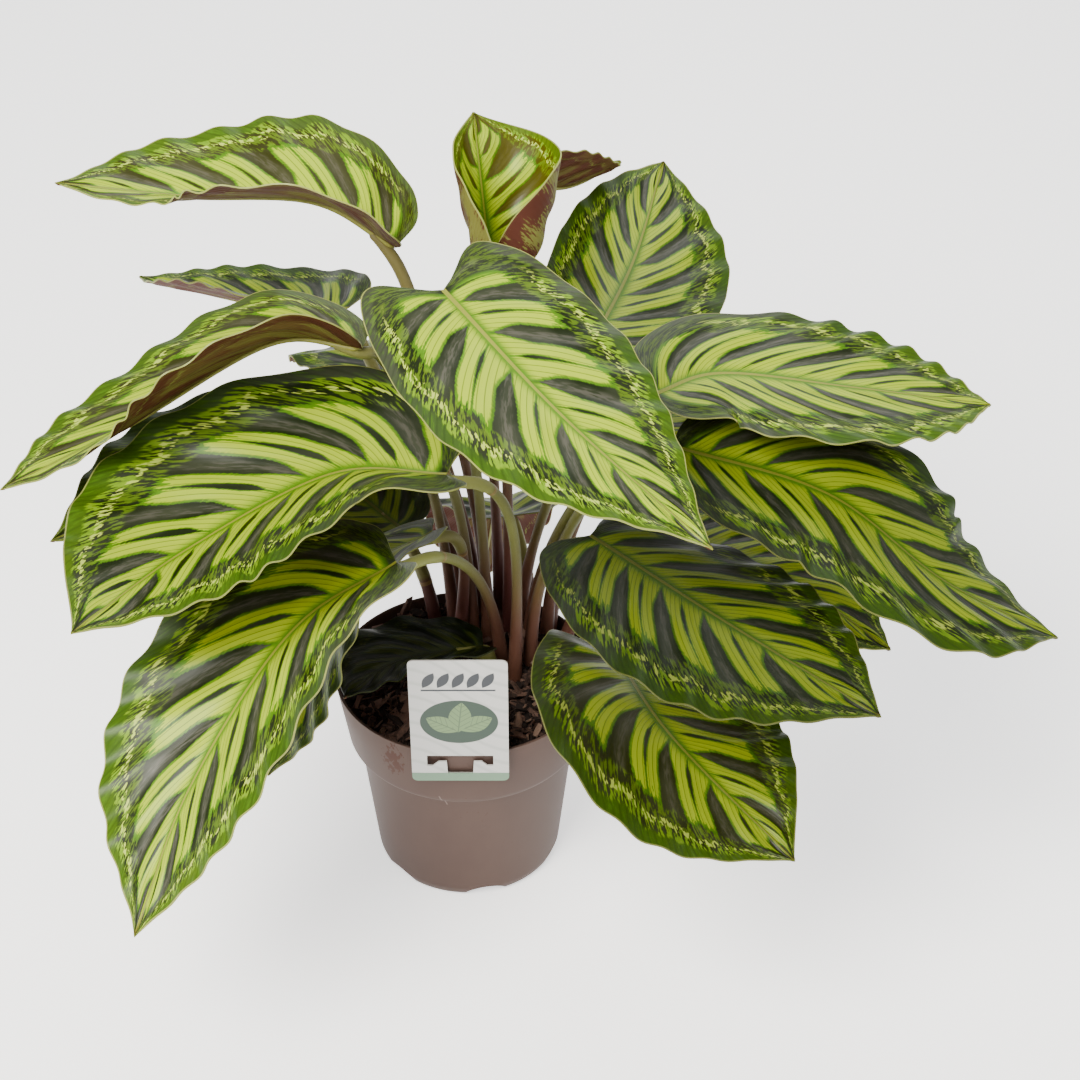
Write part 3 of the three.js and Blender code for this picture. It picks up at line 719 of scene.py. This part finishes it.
class BladeMarks:
    """The marks of a blade, each a field from 0 to 1, laid along its veins. Places across it are
    shares of the half-blade's width, from the midrib out."""

    def __init__(self, paint):
        across, along = paint.uv()
        band = paint.attribute("band")
        vein = band * (1 / BANDS)
        side = across * 2 - 1
        seed = paint.attribute("seed") * 7.3 + side.math("GREATER_THAN", side, 0.0) * 3.1
        out = abs(side)
        self.along = along
        self.strokes = paint.noise(paint.vector(vein * STROKE_COUNT, out * 11, seed), roughness=0.6)
        self.dashes = paint.noise(paint.vector(vein * STROKE_COUNT, out * 20, seed + 1.7), detail=1)
        self.clouds = paint.noise(paint.vector(vein * 9, out * 3, seed + 4.1))
        jitter = paint.noise(paint.vector(vein * 30, out * 2, seed + 5.9)) - 0.5
        ragged = self.strokes - 0.5
        saw = paint.noise(paint.vector(vein * 22, out * 58, seed + 8.3), detail=1) - 0.5
        ridge = abs(band.fraction() * 2 - 1)
        base = along.rises(0.015, 0.13) * (vein - out * 0.05).rises(0.0, 0.1)

        # Dark bands with daggers between them, and pale bands that end ragged at rib and margin
        dark_width = out.rises(0.0, 0.32) * 0.4 + out.rises(0.45, 0.66) * 0.12 - 0.02
        band_room = 1 - dark_width - ridge + saw * 0.1
        dagger = paint.attribute("dagger")
        dagger_end = out / (dagger * 0.16 + 0.48)
        dagger_width = (0.03 + dagger * 0.17) * out.rises(0.07, 0.2) * dagger_end.falls(0.3, 1.05)
        dagger_room = ridge - dagger_width + saw * 0.06
        end_room = (PALE_END + base * 0.05 - along.rises(0.8, 1.0) * 0.1 - out + ragged * 0.24
                    + jitter * 0.12)
        rib_room = out - 0.015 + ragged * 0.08
        self.pale = (band_room.rises(0.02, 0.12) * dagger_room.rises(0.02, 0.06)
                     * end_room.rises(0.02, 0.04) * rib_room.rises(0.0, 0.05) * base.rises(0.4, 0.7))
        self.green = (band_room.rises(-0.04, 0.0) * dagger_room.rises(-0.015, 0.005)
                      * end_room.rises(-0.03, -0.005) * base.rises(0.1, 0.5))
        # The middle of each dark band, where a painted sheen is laid
        self.shine = ridge.rises(0.7, 0.98) * out.within(0.15, 0.6, 0.15)
        self.fine = abs((band * FINE_VEINS).fraction() * 2 - 1)
        self.veins = self.fine.rises(0.78, 0.92)

        # Outside the bands: a broken cream line, green strokes on both sides of it, then the margin
        from_line = out - CREAM_LINE - jitter * 0.14 - ragged * 0.05 + ridge * 0.05
        self.cream = from_line.within(-0.025, 0.022, 0.012) * self.dashes.rises(0.52, 0.56) * base
        brush = self.strokes.rises(0.48, 0.54)
        inner = from_line.within(-0.13, -0.03, 0.03) * brush * 0.45
        outer = from_line.within(0.0, 0.09, 0.03) * brush
        faint = (1 - base) * brush * out.within(0.25, 0.85, 0.15) * 0.3
        self.brushed = (inner.most(outer) * base.rises(0.2, 0.8)).most(faint)
        self.margin = (from_line + ragged * 0.12).rises(0.05, 0.12)
        from_rib = paint.attribute("from_rib")
        self.edge = out.rises(0.9, 0.91) * (from_rib * (1 - out)).falls(0.35, 0.5)
        self.rib = (1.15 - along * 0.75 - from_rib).rises(-0.12, 0.12)
        self.beside = (out - ragged * 0.05).falls(0.02, 0.12)


def blade_face(colours):
    """The upper face: dark bands and pale ones, and a broken cream line inside a green margin."""
    paint = Paint("blade_face")
    marks = BladeMarks(paint)
    shade = paint.attribute("shade")
    youth = paint.attribute("youth")
    along, clouds, strokes = marks.along, marks.clouds, marks.strokes
    # Dark bands: deep green mottled with slate, with a painted sheen of slate and the sheen colour along
    # their middle
    dark = paint.mix(clouds.rises(0.35, 0.65) * 0.5 + marks.shine * 0.5, colours.deep, colours.slate)
    dark = paint.mix(marks.shine * strokes.rises(0.42, 0.6) * 0.6, dark, colours.sheen)
    dark = paint.mix(youth * 0.8, dark, colours.bronze)
    green = paint.mix(strokes.rises(0.35, 0.65) * 0.55, colours.green, colours.margin)
    body = paint.mix(marks.green, dark, green)
    pale = paint.mix(marks.beside * 0.6 + clouds * 0.15, colours.pale, colours.green)
    pale = paint.mix(marks.veins * 0.6, pale, colours.margin)
    body = paint.mix(marks.pale, body, pale)
    greener = along.rises(0.1, 0.7) + clouds * 0.8 - 0.35
    rim = paint.mix(greener.rises(0.0, 1.0), colours.slate, colours.margin)
    rim = paint.mix((along.rises(0.3, 0.9) * clouds).most(youth), rim, colours.olive)
    rim = paint.mix(strokes.rises(0.5, 0.7) * 0.35, rim, colours.green)
    rim = paint.mix(marks.fine.rises(0.5, 1.0) * 0.3, rim, colours.deep)
    body = paint.mix(marks.margin, body, rim)
    body = paint.mix(marks.brushed, body, paint.mix(marks.dashes * 0.5, colours.green, colours.pale))
    body = paint.mix(marks.cream, body, colours.cream)
    body = paint.mix(marks.edge * 0.8, body, colours.edge)
    body = paint.mix(marks.rib, body, colours.rib)
    # Painted shade: blades in the shadow of other leaves are darkened towards the painted shade colour, and
    # their coat's gloss is lowered to match
    body = paint.mix(shade, body, colours.painted_shade)
    height = marks.fine * 0.35 + marks.dashes * 0.2 + marks.rib * 0.6 + strokes * 0.3
    return paint.surface({
        "Base Color": body,
        "Roughness": 0.42 - marks.shine * 0.06 + (clouds - 0.5) * 0.16,
        "Specular IOR Level": 0.08,
        "Coat Weight": 0.24 - shade * 0.24,
        "Coat Roughness": 0.3,
        "Normal": paint.bump(height, 0.4 * MM, 0.6),
    }, glow=0.1, glow_colour=(0.25, 0.5, 0.02))


def blade_back(colours):
    """The underside: wine red, with the bands showing through paler."""
    paint = Paint("blade_back")
    marks = BladeMarks(paint)
    youth = paint.attribute("youth")
    body = paint.mix(marks.clouds, colours.wine, colours.rose)
    body = paint.mix(marks.green * 0.4, body, colours.rose)
    body = paint.mix(marks.pale * (0.3 + youth * 0.4), body, colours.moss)
    patches = (marks.clouds * 1.4 - 0.2 + (marks.strokes - 0.5) * 0.8).rises(0.5, 0.6)
    body = paint.mix(patches * youth * 0.8, body, colours.moss)
    body = paint.mix(marks.cream * 0.8, body, colours.moss)
    body = paint.mix(marks.edge * 0.8, body, colours.edge)
    height = marks.fine * 0.5 + marks.dashes * 0.2
    return paint.surface({
        "Base Color": body,
        "Roughness": 0.6 + (marks.clouds - 0.5) * 0.15,
        "Specular IOR Level": 0.12,
        "Normal": paint.bump(height, 0.4 * MM, 0.6),
    }, glow=0.08, glow_colour=(0.35, 0.16, 0.04))


def stalk_skin(colours):
    """A stalk's skin: maroon at the sheath, olive above, and fresh green on the swollen joint."""
    paint = Paint("stalk_skin")
    up, down, redness = (paint.attribute(name) for name in ("up", "down", "redness"))
    turn, _ = paint.uv()
    grain = paint.noise(paint.vector((turn * math.tau).sine() * 5, up * 6, redness * 20), detail=3)
    streaks = paint.noise(paint.vector(turn * 40, up * 3, redness * 20))
    body = paint.mix((redness + (grain - 0.5) * 0.5).rises(0.2, 0.8), colours.olive, colours.maroon)
    body = paint.mix(streaks.rises(0.35, 0.65) * 0.35, body, colours.fresh)
    sheath_top, joint_start = colours.sheath / MM, colours.joint / MM
    sheath = (up + (streaks - 0.5) * 40).falls(sheath_top - 40, sheath_top + 45)
    body = paint.mix(sheath * 0.85, body, colours.maroon)
    joint = (down + (grain - 0.5) * 4).falls(joint_start - 4, joint_start + 1)
    body = paint.mix(joint, body, paint.mix(redness * 0.5, colours.fresh, colours.maroon))
    ring = down.within(joint_start + 0.2, joint_start + 2, 0.5)
    body = paint.mix(ring * 0.8, body, colours.tan)
    height = streaks * 0.5 + grain * 0.5 + ring
    return paint.surface({
        "Base Color": body,
        "Roughness": 0.42 + grain * 0.15,
        "Specular IOR Level": 0.25,
        "Normal": paint.bump(height, 0.25 * MM, 0.6),
    }, glow=0.06, glow_colour=(0.4, 0.35, 0.08))


def rib_skin(colours):
    """The midrib under a blade."""
    paint = Paint("rib_skin")
    grain = paint.grain(paint.place(), 180)
    return paint.surface({
        "Base Color": paint.mix(grain * 0.6, colours.rib, colours.rose),
        "Roughness": 0.45 + grain * 0.1,
    })


def pot_plastic(colours):
    """Matte moulded plastic with fine grain, dust, a few dried crumbs of soil and a scratch."""
    paint = Paint("pot_plastic")
    x, y, z = paint.place()
    fine = paint.grain((x, y, z), 1500)
    cloud = paint.noise(paint.vector(x * 30, y * 30, z * 22), detail=4, roughness=0.6)
    drawn = paint.noise(paint.vector(x * 400, y * 400, z * 8))
    torn = paint.noise(paint.vector(x * 550, y * 550, z * 330), detail=3)

    # Crumbs left of the card and a scratch below it, placed in millimetres, and the plastic paler and rougher
    # towards the rim
    right, back, up = (part * MM_PER_METRE for part in (x, y, z))
    front = back.falls(-30, -20)
    blot_x, blot_z = (right + 36.6) * (1 / 5), (up - 105) * (1 / 11)
    blot = blot_x * blot_x + blot_z * blot_z + (torn - 0.5) * 6
    scratch_z = up - 80
    scratch = abs(right + 11 + scratch_z * 0.35).falls(0.25, 0.5) * abs(scratch_z).falls(5, 6)
    specks = paint.cells(paint.vector(x, y, z), 260).falls(0.05, 0.16) * cloud.rises(0.5, 0.62)
    paler_to_rim = up.rises(98, 120) * cloud.rises(0.4, 0.7)
    body = paint.mix(cloud.rises(0.35, 0.7) * 0.3, colours.taupe, colours.dust)
    body = paint.mix(paler_to_rim * 0.35, body, colours.dust)
    body = paint.mix(specks * 0.5, body, colours.crumbs)
    body = paint.mix(blot.falls(0.6, 0.9) * front, body, colours.crumbs)
    body = paint.mix(scratch * front, body, colours.scratch)
    return paint.surface({
        "Base Color": body,
        "Roughness": 0.5 + cloud * 0.12 + paler_to_rim * 0.1,
        "Specular IOR Level": 0.25,
        "Normal": paint.bump(fine * 0.5 + drawn * 0.5, 0.06 * MM, 0.5),
    })


def bark(colours):
    """Bark: dark brown, fibrous, a few chips light as straw."""
    paint = Paint("bark")
    tone = paint.attribute("tone")
    fibre = paint.grain(paint.place(), 420, detail=4, roughness=0.65)
    body = paint.mix((fibre + tone - 0.5).rises(0.25, 0.75), colours.dark, colours.brown)
    body = paint.mix(tone.rises(0.8, 1.0) * fibre, body, colours.straw)
    return paint.surface({
        "Base Color": body,
        "Roughness": 0.7 + fibre * 0.25,
        "Specular IOR Level": 0.3,
        "Normal": paint.bump(fibre, 0.8 * MM, 0.9),
    })


def card_print(colours):
    """The card's print: soft stripes, a row of leaves, an oval with three leaves, a green band."""
    paint = Paint("card_print")
    x, y, z = paint.place()
    across = (x - (CARD_LOW.x + CARD_HIGH.x) / 2) * MM_PER_METRE
    up = (z - CARD_LOW.z) * MM_PER_METRE

    def leaf_shape(at, tilt, long, wide):
        """Two fields for a pointed leaf: its inside, and its midrib and veins."""
        cosine, sine = math.cos(math.radians(tilt)), math.sin(math.radians(tilt))
        along = (across - at[0]) * cosine + (up - at[1]) * sine
        aside = abs((up - at[1]) * cosine - (across - at[0]) * sine)
        share = along * (1 / long)
        room = (1 - share * share) * (0.5 * wide) - aside
        veins = abs(((along - aside * 0.9) * (3 / long)).fraction() * 2 - 1)
        return room.rises(-0.1, 0.15), veins.rises(0.8, 0.98).most(aside.falls(0.15, 0.4))

    stripe = abs(((across * 0.45 + up) * 0.11 + (across * 0.09).sine() * 0.5).fraction() * 2 - 1)
    design = paint.mix(stripe.rises(0.55, 0.95) * 0.45, colours.ground, colours.shade)
    oval_x, oval_y = across * (1 / CARD_OVAL_REACH[0]), (up - CARD_OVAL_HEIGHT) * (1 / CARD_OVAL_REACH[1])
    oval = (oval_x * oval_x + oval_y * oval_y).falls(0.97, 1.0)
    picture = colours.shadow
    for leaf in CARD_OVAL_LEAVES:
        inside, veins = leaf_shape(*leaf)
        picture = paint.mix(inside, picture, paint.mix(veins * 0.6, colours.leaf, colours.shadow))
    design = paint.mix(oval, design, picture)
    for leaf in CARD_ROW_LEAVES:
        inside, _ = leaf_shape(*leaf)
        design = paint.mix(inside, design, colours.slate)
    line = (abs(up - CARD_LINE_HEIGHT) - 0.5).falls(0.0, 0.15)
    line *= abs(across).falls(CARD_LINE_REACH, CARD_LINE_REACH + 0.5)
    design = paint.mix(line, design, colours.slate)
    design = paint.mix(up.falls(CARD_BAND, CARD_BAND + 0.3), design, colours.band)
    upright = y + (z - POT_HEIGHT) * math.tan(CARD_LEAN)
    front = (upright * MM_PER_METRE).falls(CARD_FRONT - 0.2, CARD_FRONT)
    grain = paint.grain((x, y, z), 900)
    return paint.surface({
        "Base Color": paint.mix(front, colours.ground, design),
        "Roughness": 0.38 + grain * 0.08,
        "Specular IOR Level": 0.5,
        "Normal": paint.bump(grain, 0.03 * MM, 0.4),
    })


def floor_paint(colours):
    """A plain pale floor."""
    paint = Paint("floor_paint")
    return paint.surface({
        "Base Color": (*colours.floor, 1.0),
        "Roughness": 0.9,
        "Emission Color": (*colours.floor, 1.0),
        "Emission Strength": colours.floor_glow,
    })


# The pieces


def ease(value, low, high):
    """0 below low and 1 above high, with a smooth step between."""
    part = min(max((value - low) / (high - low), 0.0), 1.0)
    return part * part * (3 - 2 * part)


def band_place(seed, x, t):
    """How many dark bands lie between the blade's base and that place."""
    right = 1 if t > 0 else 0
    start = x - BAND_LEAN * abs(t)
    drift = noise.noise(Vector((2.5 * start, seed, 4 * right)))
    return BANDS * start + BAND_START + BAND_STAGGER * right + BAND_DRIFT * drift


def back_sheet(bm, thickness):
    """Gives a sheet its underside and closes the rim between them."""
    bm.normal_update()
    upwards = {vert: vert.normal.copy() for vert in bm.verts}
    under = bm.faces[:]
    bmesh.ops.extrude_face_region(bm, geom=under, use_keep_orig=True)
    for vert, up in upwards.items():
        vert.co -= up * thickness
    for face in under:
        face.material_index = 1


def build_blade(leaf, seed, settings, materials):
    """A blade with swells between its bands, a raised midrib on top and a round one below."""
    blade = Blade(leaf)
    bm = start_mesh("seed", "dagger", "shade", "youth", "from_rib", "band")
    spots = add_grid(bm, settings.columns, settings.rows,
                     lambda across, along: blade.point(along, 2 * across - 1))
    bm.normal_update()
    for vert, (across, along) in spots.items():
        side = 2 * across - 1
        out = abs(side)
        swell = -math.cos(math.tau * band_place(seed, along, side))
        room = ease(out, 0.02, 0.35) * (1 - ease(out, 0.6, 0.85)) * ease(along, 0.0, 0.2)
        ridge = settings.rib_height * (1 - 0.7 * along) if out < 0.001 else 0.0
        vert.co += vert.normal * (settings.quilting * 0.5 * swell * room + ridge)
    # shade carries the blade's painted shade to its material
    tag(bm, spots, seed=seed, dagger=leaf.dagger, shade=leaf.shade, youth=leaf.youth,
        from_rib=lambda across, along: abs(2 * across - 1) * blade.reach(along, 2 * across - 1) / MM,
        band=lambda across, along: band_place(seed, along, 2 * across - 1))
    for end in (0, 1):
        row = [vert for vert, (_, along) in spots.items() if abs(along - end) < 0.1 / settings.rows]
        bmesh.ops.pointmerge(bm, verts=row, merge_co=blade.point(end, 0))
    back_sheet(bm, settings.thickness)

    steps, length = 40, 0.97 * blade.length
    points = [blade.under_rib(length * k / steps, RIB_DEPTH) for k in range(steps + 1)]
    ribs = add_tube(bm, points, 8, lambda share: RIB_DEPTH * (1.25 - share))
    for face in {face for vert in ribs for face in vert.link_faces}:
        face.material_index = 2
    bmesh.ops.remove_doubles(bm, verts=list(ribs), dist=0.02 * MM)
    return finish_piece(bm, f"blade_{leaf.name}", materials, "blade", f"leaf_{leaf.name}", crease=75)


def build_stalk(leaf, settings, material):
    """A stalk that swells in its sheath and at the joint below its blade, and runs on under it."""
    blade = Blade(leaf)
    stalk = Stalk(blade, settings.radius)
    steps = 40
    line = [stalk.point(k / steps) for k in range(steps + 1)]
    below = (line[-1] - blade.under_rib(0, 0)).length
    line += [blade.under_rib(at, RIB_DEPTH + share * (below - RIB_DEPTH)) for at, share in STALK_RUN_ON]
    for _ in range(6):
        for k in range(steps - 4, len(line) - 1):
            line[k] = line[k].lerp((line[k - 1] + line[k + 1]) / 2, 0.5)
    points, total = even_points(line, settings.steps)
    joined = total - STALK_RUN_ON[-1][0]

    def radius(share):
        """Thicker in the sheath and the joint, with a ring where the joint begins."""
        up = share * total - STALK_ROOT_DEPTH
        down = joined - share * total
        sheath = 0.4 * (1 - ease(up, 0.0, settings.sheath))
        swell = 0.16 * (1 - ease(down, settings.joint - 3 * MM, settings.joint + 1 * MM))
        ring = 0.14 * max(0.0, 1 - abs(down - settings.joint - 1 * MM) / (1.6 * MM))
        taper = 0.42 * (1 - ease(down, -15 * MM, 3 * MM))
        return settings.radius * (0.94 + sheath + swell + ring - taper)

    bm = start_mesh("up", "down", "redness")
    spots = add_tube(bm, points, settings.sides, radius)
    tag(bm, spots, redness=leaf.redness,
        up=lambda _, share: (share * total - STALK_ROOT_DEPTH) / MM,
        down=lambda _, share: (joined - share * total) / MM)
    bmesh.ops.remove_doubles(bm, verts=bm.verts[:], dist=0.02 * MM)
    return finish_piece(bm, f"stem_{leaf.name}", [material], "stalk", f"stalk_{leaf.name}")


def build_pot(settings, material):
    """The pot turned from its profile, with round edges, channels under its base and drain holes."""
    wall = settings.wall / MM
    inside = [(r - wall, z, rounding) for r, z, rounding in POT_INSIDE]
    corners = [*POT_OUTSIDE, *inside, *POT_FLOOR]
    bm = start_mesh()
    verts = [bm.verts.new((r * MM, 0, z * MM)) for r, z, _ in corners]
    for start, end in zip(verts, verts[1:]):
        bm.edges.new((start, end))
    for vert, (_, _, rounding) in zip(verts, corners):
        if rounding:
            bmesh.ops.bevel(bm, geom=[vert], offset=rounding * MM, affect="VERTICES", segments=4,
                            profile=0.5, material=-1)
    bmesh.ops.spin(bm, geom=bm.verts[:] + bm.edges[:], cent=(0, 0, 0), axis=(0, 0, 1), angle=math.tau,
                   steps=settings.segments, use_merge=True)
    bmesh.ops.remove_doubles(bm, verts=bm.verts[:], dist=0.01 * MM)
    bmesh.ops.recalc_face_normals(bm, faces=bm.faces[:])
    piece = finish_piece(bm, "nursery_pot", [material], "pot", "pot", crease=40)
    cutter = build_base_cutter()
    cut = piece.modifiers.new("base", "BOOLEAN")
    cut.object = cutter
    cut.solver = "EXACT"
    cut.use_self = True
    bpy.context.view_layer.update()
    whole = piece.evaluated_get(bpy.context.evaluated_depsgraph_get())
    mesh = bpy.data.meshes.new_from_object(whole)
    piece.modifiers.clear()
    piece.data = mesh
    bpy.data.objects.remove(cutter)
    return piece


def build_base_cutter():
    """Six arched channels under the base that show at the foot, each with a drain hole."""
    bm = bmesh.new()
    middle = (CHANNEL_START + CHANNEL_END) / 2 * MM
    lie = Matrix.Translation((0, middle, 0)) @ Matrix.Rotation(math.pi / 2, 4, "X")
    flat = Matrix.Diagonal((CHANNEL_WIDTH / 2 * MM, 1, CHANNEL_HEIGHT * MM, 1))
    hole = Matrix.Translation((0, DRAIN_CIRCLE * MM, 0))
    for k in range(CHANNELS):
        turn = Matrix.Rotation(math.tau * (k + FIRST_CHANNEL) / CHANNELS, 4, "Z")
        bmesh.ops.create_cone(bm, cap_ends=True, segments=32, radius1=1, radius2=1,
                              depth=(CHANNEL_END - CHANNEL_START) * MM, matrix=turn @ flat @ lie)
        bmesh.ops.create_cone(bm, cap_ends=True, segments=32, radius1=DRAIN_RADIUS * MM,
                              radius2=DRAIN_RADIUS * MM, depth=DRAIN_LENGTH * MM, matrix=turn @ hole)
    return add_object(bm, "base_cutter")


def build_soil(material):
    """The soil as one closed body with a rough top."""
    turns, top_rows = 150, 60
    rows = top_rows + len(SOIL_SIDES)

    def place(turn, share):
        row = round(share * rows)
        angle = math.tau * turn
        if row > top_rows:
            radius, z = SOIL_SIDES[row - top_rows - 1]
            return Vector((radius * math.cos(angle), radius * math.sin(angle), z)) * MM
        radius = SOIL_EDGE * row / top_rows
        x, y = radius * math.cos(angle), radius * math.sin(angle)
        rough = noise.fractal(Vector((x, y, 3)) * 0.35, 0.9, 2.1, 4) * SOIL_ROUGHNESS
        return Vector((x * MM, y * MM, soil_height(x, y) + rough * MM))

    bm = start_mesh("tone")
    spots = add_grid(bm, turns, rows, place)
    tag(bm, spots, tone=0.3)
    bmesh.ops.remove_doubles(bm, verts=bm.verts[:], dist=0.02 * MM)
    bmesh.ops.recalc_face_normals(bm, faces=bm.faces[:])
    return finish_piece(bm, "soil_body", [material], "soil", "soil")


def build_chips(settings, material):
    """Bark chips and crumbs scattered over the soil, angular slivers lying at all angles, one of them
    on end."""
    chance = random.Random(7)
    bm = start_mesh("tone")
    tone = bm.verts.layers.float["tone"]
    bmesh.ops.create_cube(bm, size=2)
    bmesh.ops.subdivide_edges(bm, edges=bm.edges[:], cuts=1, use_grid_fill=True)
    corners = len(bm.verts)
    while len(bm.verts) < settings.chips * corners:
        bmesh.ops.duplicate(bm, geom=bm.verts[:] + bm.edges[:] + bm.faces[:])
    verts = bm.verts[:]
    bmesh.ops.delete(bm, geom=verts[settings.chips * corners:], context="VERTS")
    for k in range(settings.chips):
        size = chance.random() ** 1.7
        long = settings.longest * (0.2 + 0.8 * size)
        wide = long * chance.uniform(0.14, 0.5)
        thick = wide * chance.uniform(0.2, 0.6)
        radius = (CHIP_REACH * MM - 0.45 * long) * math.sqrt(chance.random())
        angle = chance.uniform(0, math.tau)
        x, y = radius * math.cos(angle), radius * math.sin(angle)
        z = soil_height(x / MM, y / MM) + thick * chance.uniform(0.1, 1.3)
        lean = chance.gauss(0, 0.45)
        shade = chance.random() ** 1.3
        if k == 0:
            (x, y, z), lean, shade = STANDING_CHIP, STANDING_LEAN, 0.7
            long, wide, thick = settings.longest * 1.3, 5 * MM, 2 * MM
        turn = Matrix.Rotation(chance.uniform(0, math.tau), 3, "Z")
        tilt = Matrix.Rotation(lean, 3, "Y") @ Matrix.Rotation(chance.gauss(0, 0.6), 3, "X")
        taper = chance.uniform(0, 0.7)
        offset = Vector((chance.uniform(0, 90), chance.uniform(0, 90), 0))
        for vert in verts[k * corners:(k + 1) * corners]:
            rounded = vert.co.lerp(vert.co.normalized(), 0.45)
            ragged = 1 + 0.55 * noise.noise(vert.co * 1.3 + offset)
            slim = 1 - taper * rounded.x ** 2
            block = Vector((rounded.x * long, rounded.y * wide * slim, rounded.z * thick * slim))
            vert.co = turn @ (tilt @ block) * 0.5 * ragged + Vector((x, y, z))
            vert[tone] = shade
    return finish_piece(bm, "bark_chips", [material], "soil", crease=25)


def stand_light(name, place, size, power, colour=(1, 1, 1)):
    """A square soft light that looks at the plant."""
    light = bpy.data.lights.new(name, "AREA")
    light.shape = "SQUARE"
    light.size = size
    light.energy = power
    light.color = colour
    lamp = bpy.data.objects.new(name, light)
    lamp.location = place
    lamp.rotation_euler = (Vector(LIGHT_TARGET) - Vector(place)).to_track_quat("-Z", "Y").to_euler()
    bpy.context.collection.objects.link(lamp)


# Operators


class CALATHEA_OT_pot(bpy.types.Operator):
    """Turn the nursery pot"""

    bl_idname = "calathea.pot"
    bl_label = "Pot"

    def execute(self, context):
        settings = context.scene.calathea_pot
        build_pot(settings, pot_plastic(settings))
        return {"FINISHED"}


class CALATHEA_OT_soil(bpy.types.Operator):
    """Fill the pot with bark soil and scatter chips on it"""

    bl_idname = "calathea.soil"
    bl_label = "Soil"

    def execute(self, context):
        settings = context.scene.calathea_soil
        material = bark(settings)
        build_soil(material)
        build_chips(settings, material)
        return {"FINISHED"}


class CALATHEA_OT_card(bpy.types.Operator):
    """Print the card"""

    bl_idname = "calathea.card"
    bl_label = "Card"

    def execute(self, context):
        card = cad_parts["card"]
        card.data.materials.clear()
        card.data.materials.append(card_print(context.scene.calathea_card))
        return {"FINISHED"}


class CALATHEA_OT_blades(bpy.types.Operator):
    """Spread the leaf blades"""

    bl_idname = "calathea.blades"
    bl_label = "Blades"

    def execute(self, context):
        settings = context.scene.calathea_blades
        materials = [blade_face(settings), blade_back(settings), rib_skin(settings)]
        for seed, leaf in enumerate(LEAVES, start=1):
            build_blade(leaf, seed, settings, materials)
        return {"FINISHED"}


class CALATHEA_OT_stalks(bpy.types.Operator):
    """Grow the stalks"""

    bl_idname = "calathea.stalks"
    bl_label = "Stalks"

    def execute(self, context):
        settings = context.scene.calathea_stalks
        material = stalk_skin(settings)
        for leaf in LEAVES:
            build_stalk(leaf, settings, material)
        return {"FINISHED"}


class CALATHEA_OT_stage(bpy.types.Operator):
    """Lay the floor and set up the lights and the camera"""

    bl_idname = "calathea.stage"
    bl_label = "Stage"

    def execute(self, context):
        settings = context.scene.calathea_stage
        bm = bmesh.new()
        bmesh.ops.create_grid(bm, x_segments=1, y_segments=1, size=settings.floor_size)
        floor = add_object(bm, "floor", floor_paint(settings))

        world = bpy.data.worlds.new("studio")
        world.use_nodes = True
        background = world.node_tree.nodes["Background"].inputs
        background["Color"].default_value = (1, 1, 1, 1)
        background["Strength"].default_value = settings.ambient
        context.scene.world = world
        stand_light("key", (-0.7, -1.2, 1.8), 1.1, settings.key_power, (1, 0.96, 0.88))
        stand_light("fill", (1.5, -0.7, 1.1), 1.4, settings.fill_power)
        stand_light("back", (0.2, 1.4, 1.6), 1.4, settings.back_power)

        camera = bpy.data.cameras.new("camera")
        camera.sensor_width = SENSOR
        camera.lens = SENSOR * FOCAL_PIXELS / PHOTO_PIXELS
        camera.clip_start = 0.05
        camera.clip_end = 50
        stand = bpy.data.objects.new("camera", camera)
        stand.location = CAMERA_PLACE
        stand.rotation_euler = (math.pi / 2 - CAMERA_PITCH, 0, 0)
        context.collection.objects.link(stand)
        context.scene.camera = stand
        return {"FINISHED"}


OPERATORS = (
    CALATHEA_OT_pot,
    CALATHEA_OT_soil,
    CALATHEA_OT_card,
    CALATHEA_OT_blades,
    CALATHEA_OT_stalks,
    CALATHEA_OT_stage,
)

SETTINGS = {
    "calathea_pot": PotSettings,
    "calathea_soil": SoilSettings,
    "calathea_card": CardSettings,
    "calathea_blades": BladeSettings,
    "calathea_stalks": StalkSettings,
    "calathea_stage": StageSettings,
}


class CALATHEA_PT_panel(bpy.types.Panel):
    """The plant's operators in the sidebar"""

    bl_idname = "CALATHEA_PT_panel"
    bl_label = "Moonlight calathea"
    bl_space_type = "VIEW_3D"
    bl_region_type = "UI"
    bl_category = "Calathea"

    def draw(self, context):
        for operator in OPERATORS:
            self.layout.operator(operator.bl_idname)


CLASSES = (*SETTINGS.values(), *OPERATORS, CALATHEA_PT_panel)


def register():
    for cls in CLASSES:
        bpy.utils.register_class(cls)
    for name, settings in SETTINGS.items():
        setattr(bpy.types.Scene, name, PointerProperty(type=settings))


def unregister():
    for name in SETTINGS:
        delattr(bpy.types.Scene, name)
    for cls in reversed(CLASSES):
        bpy.utils.unregister_class(cls)


def main():
    """Builds every piece."""
    register()
    for operator in OPERATORS:
        group, name = operator.bl_idname.split(".")
        getattr(getattr(bpy.ops, group), name)()


if __name__ == "__main__":
    main()
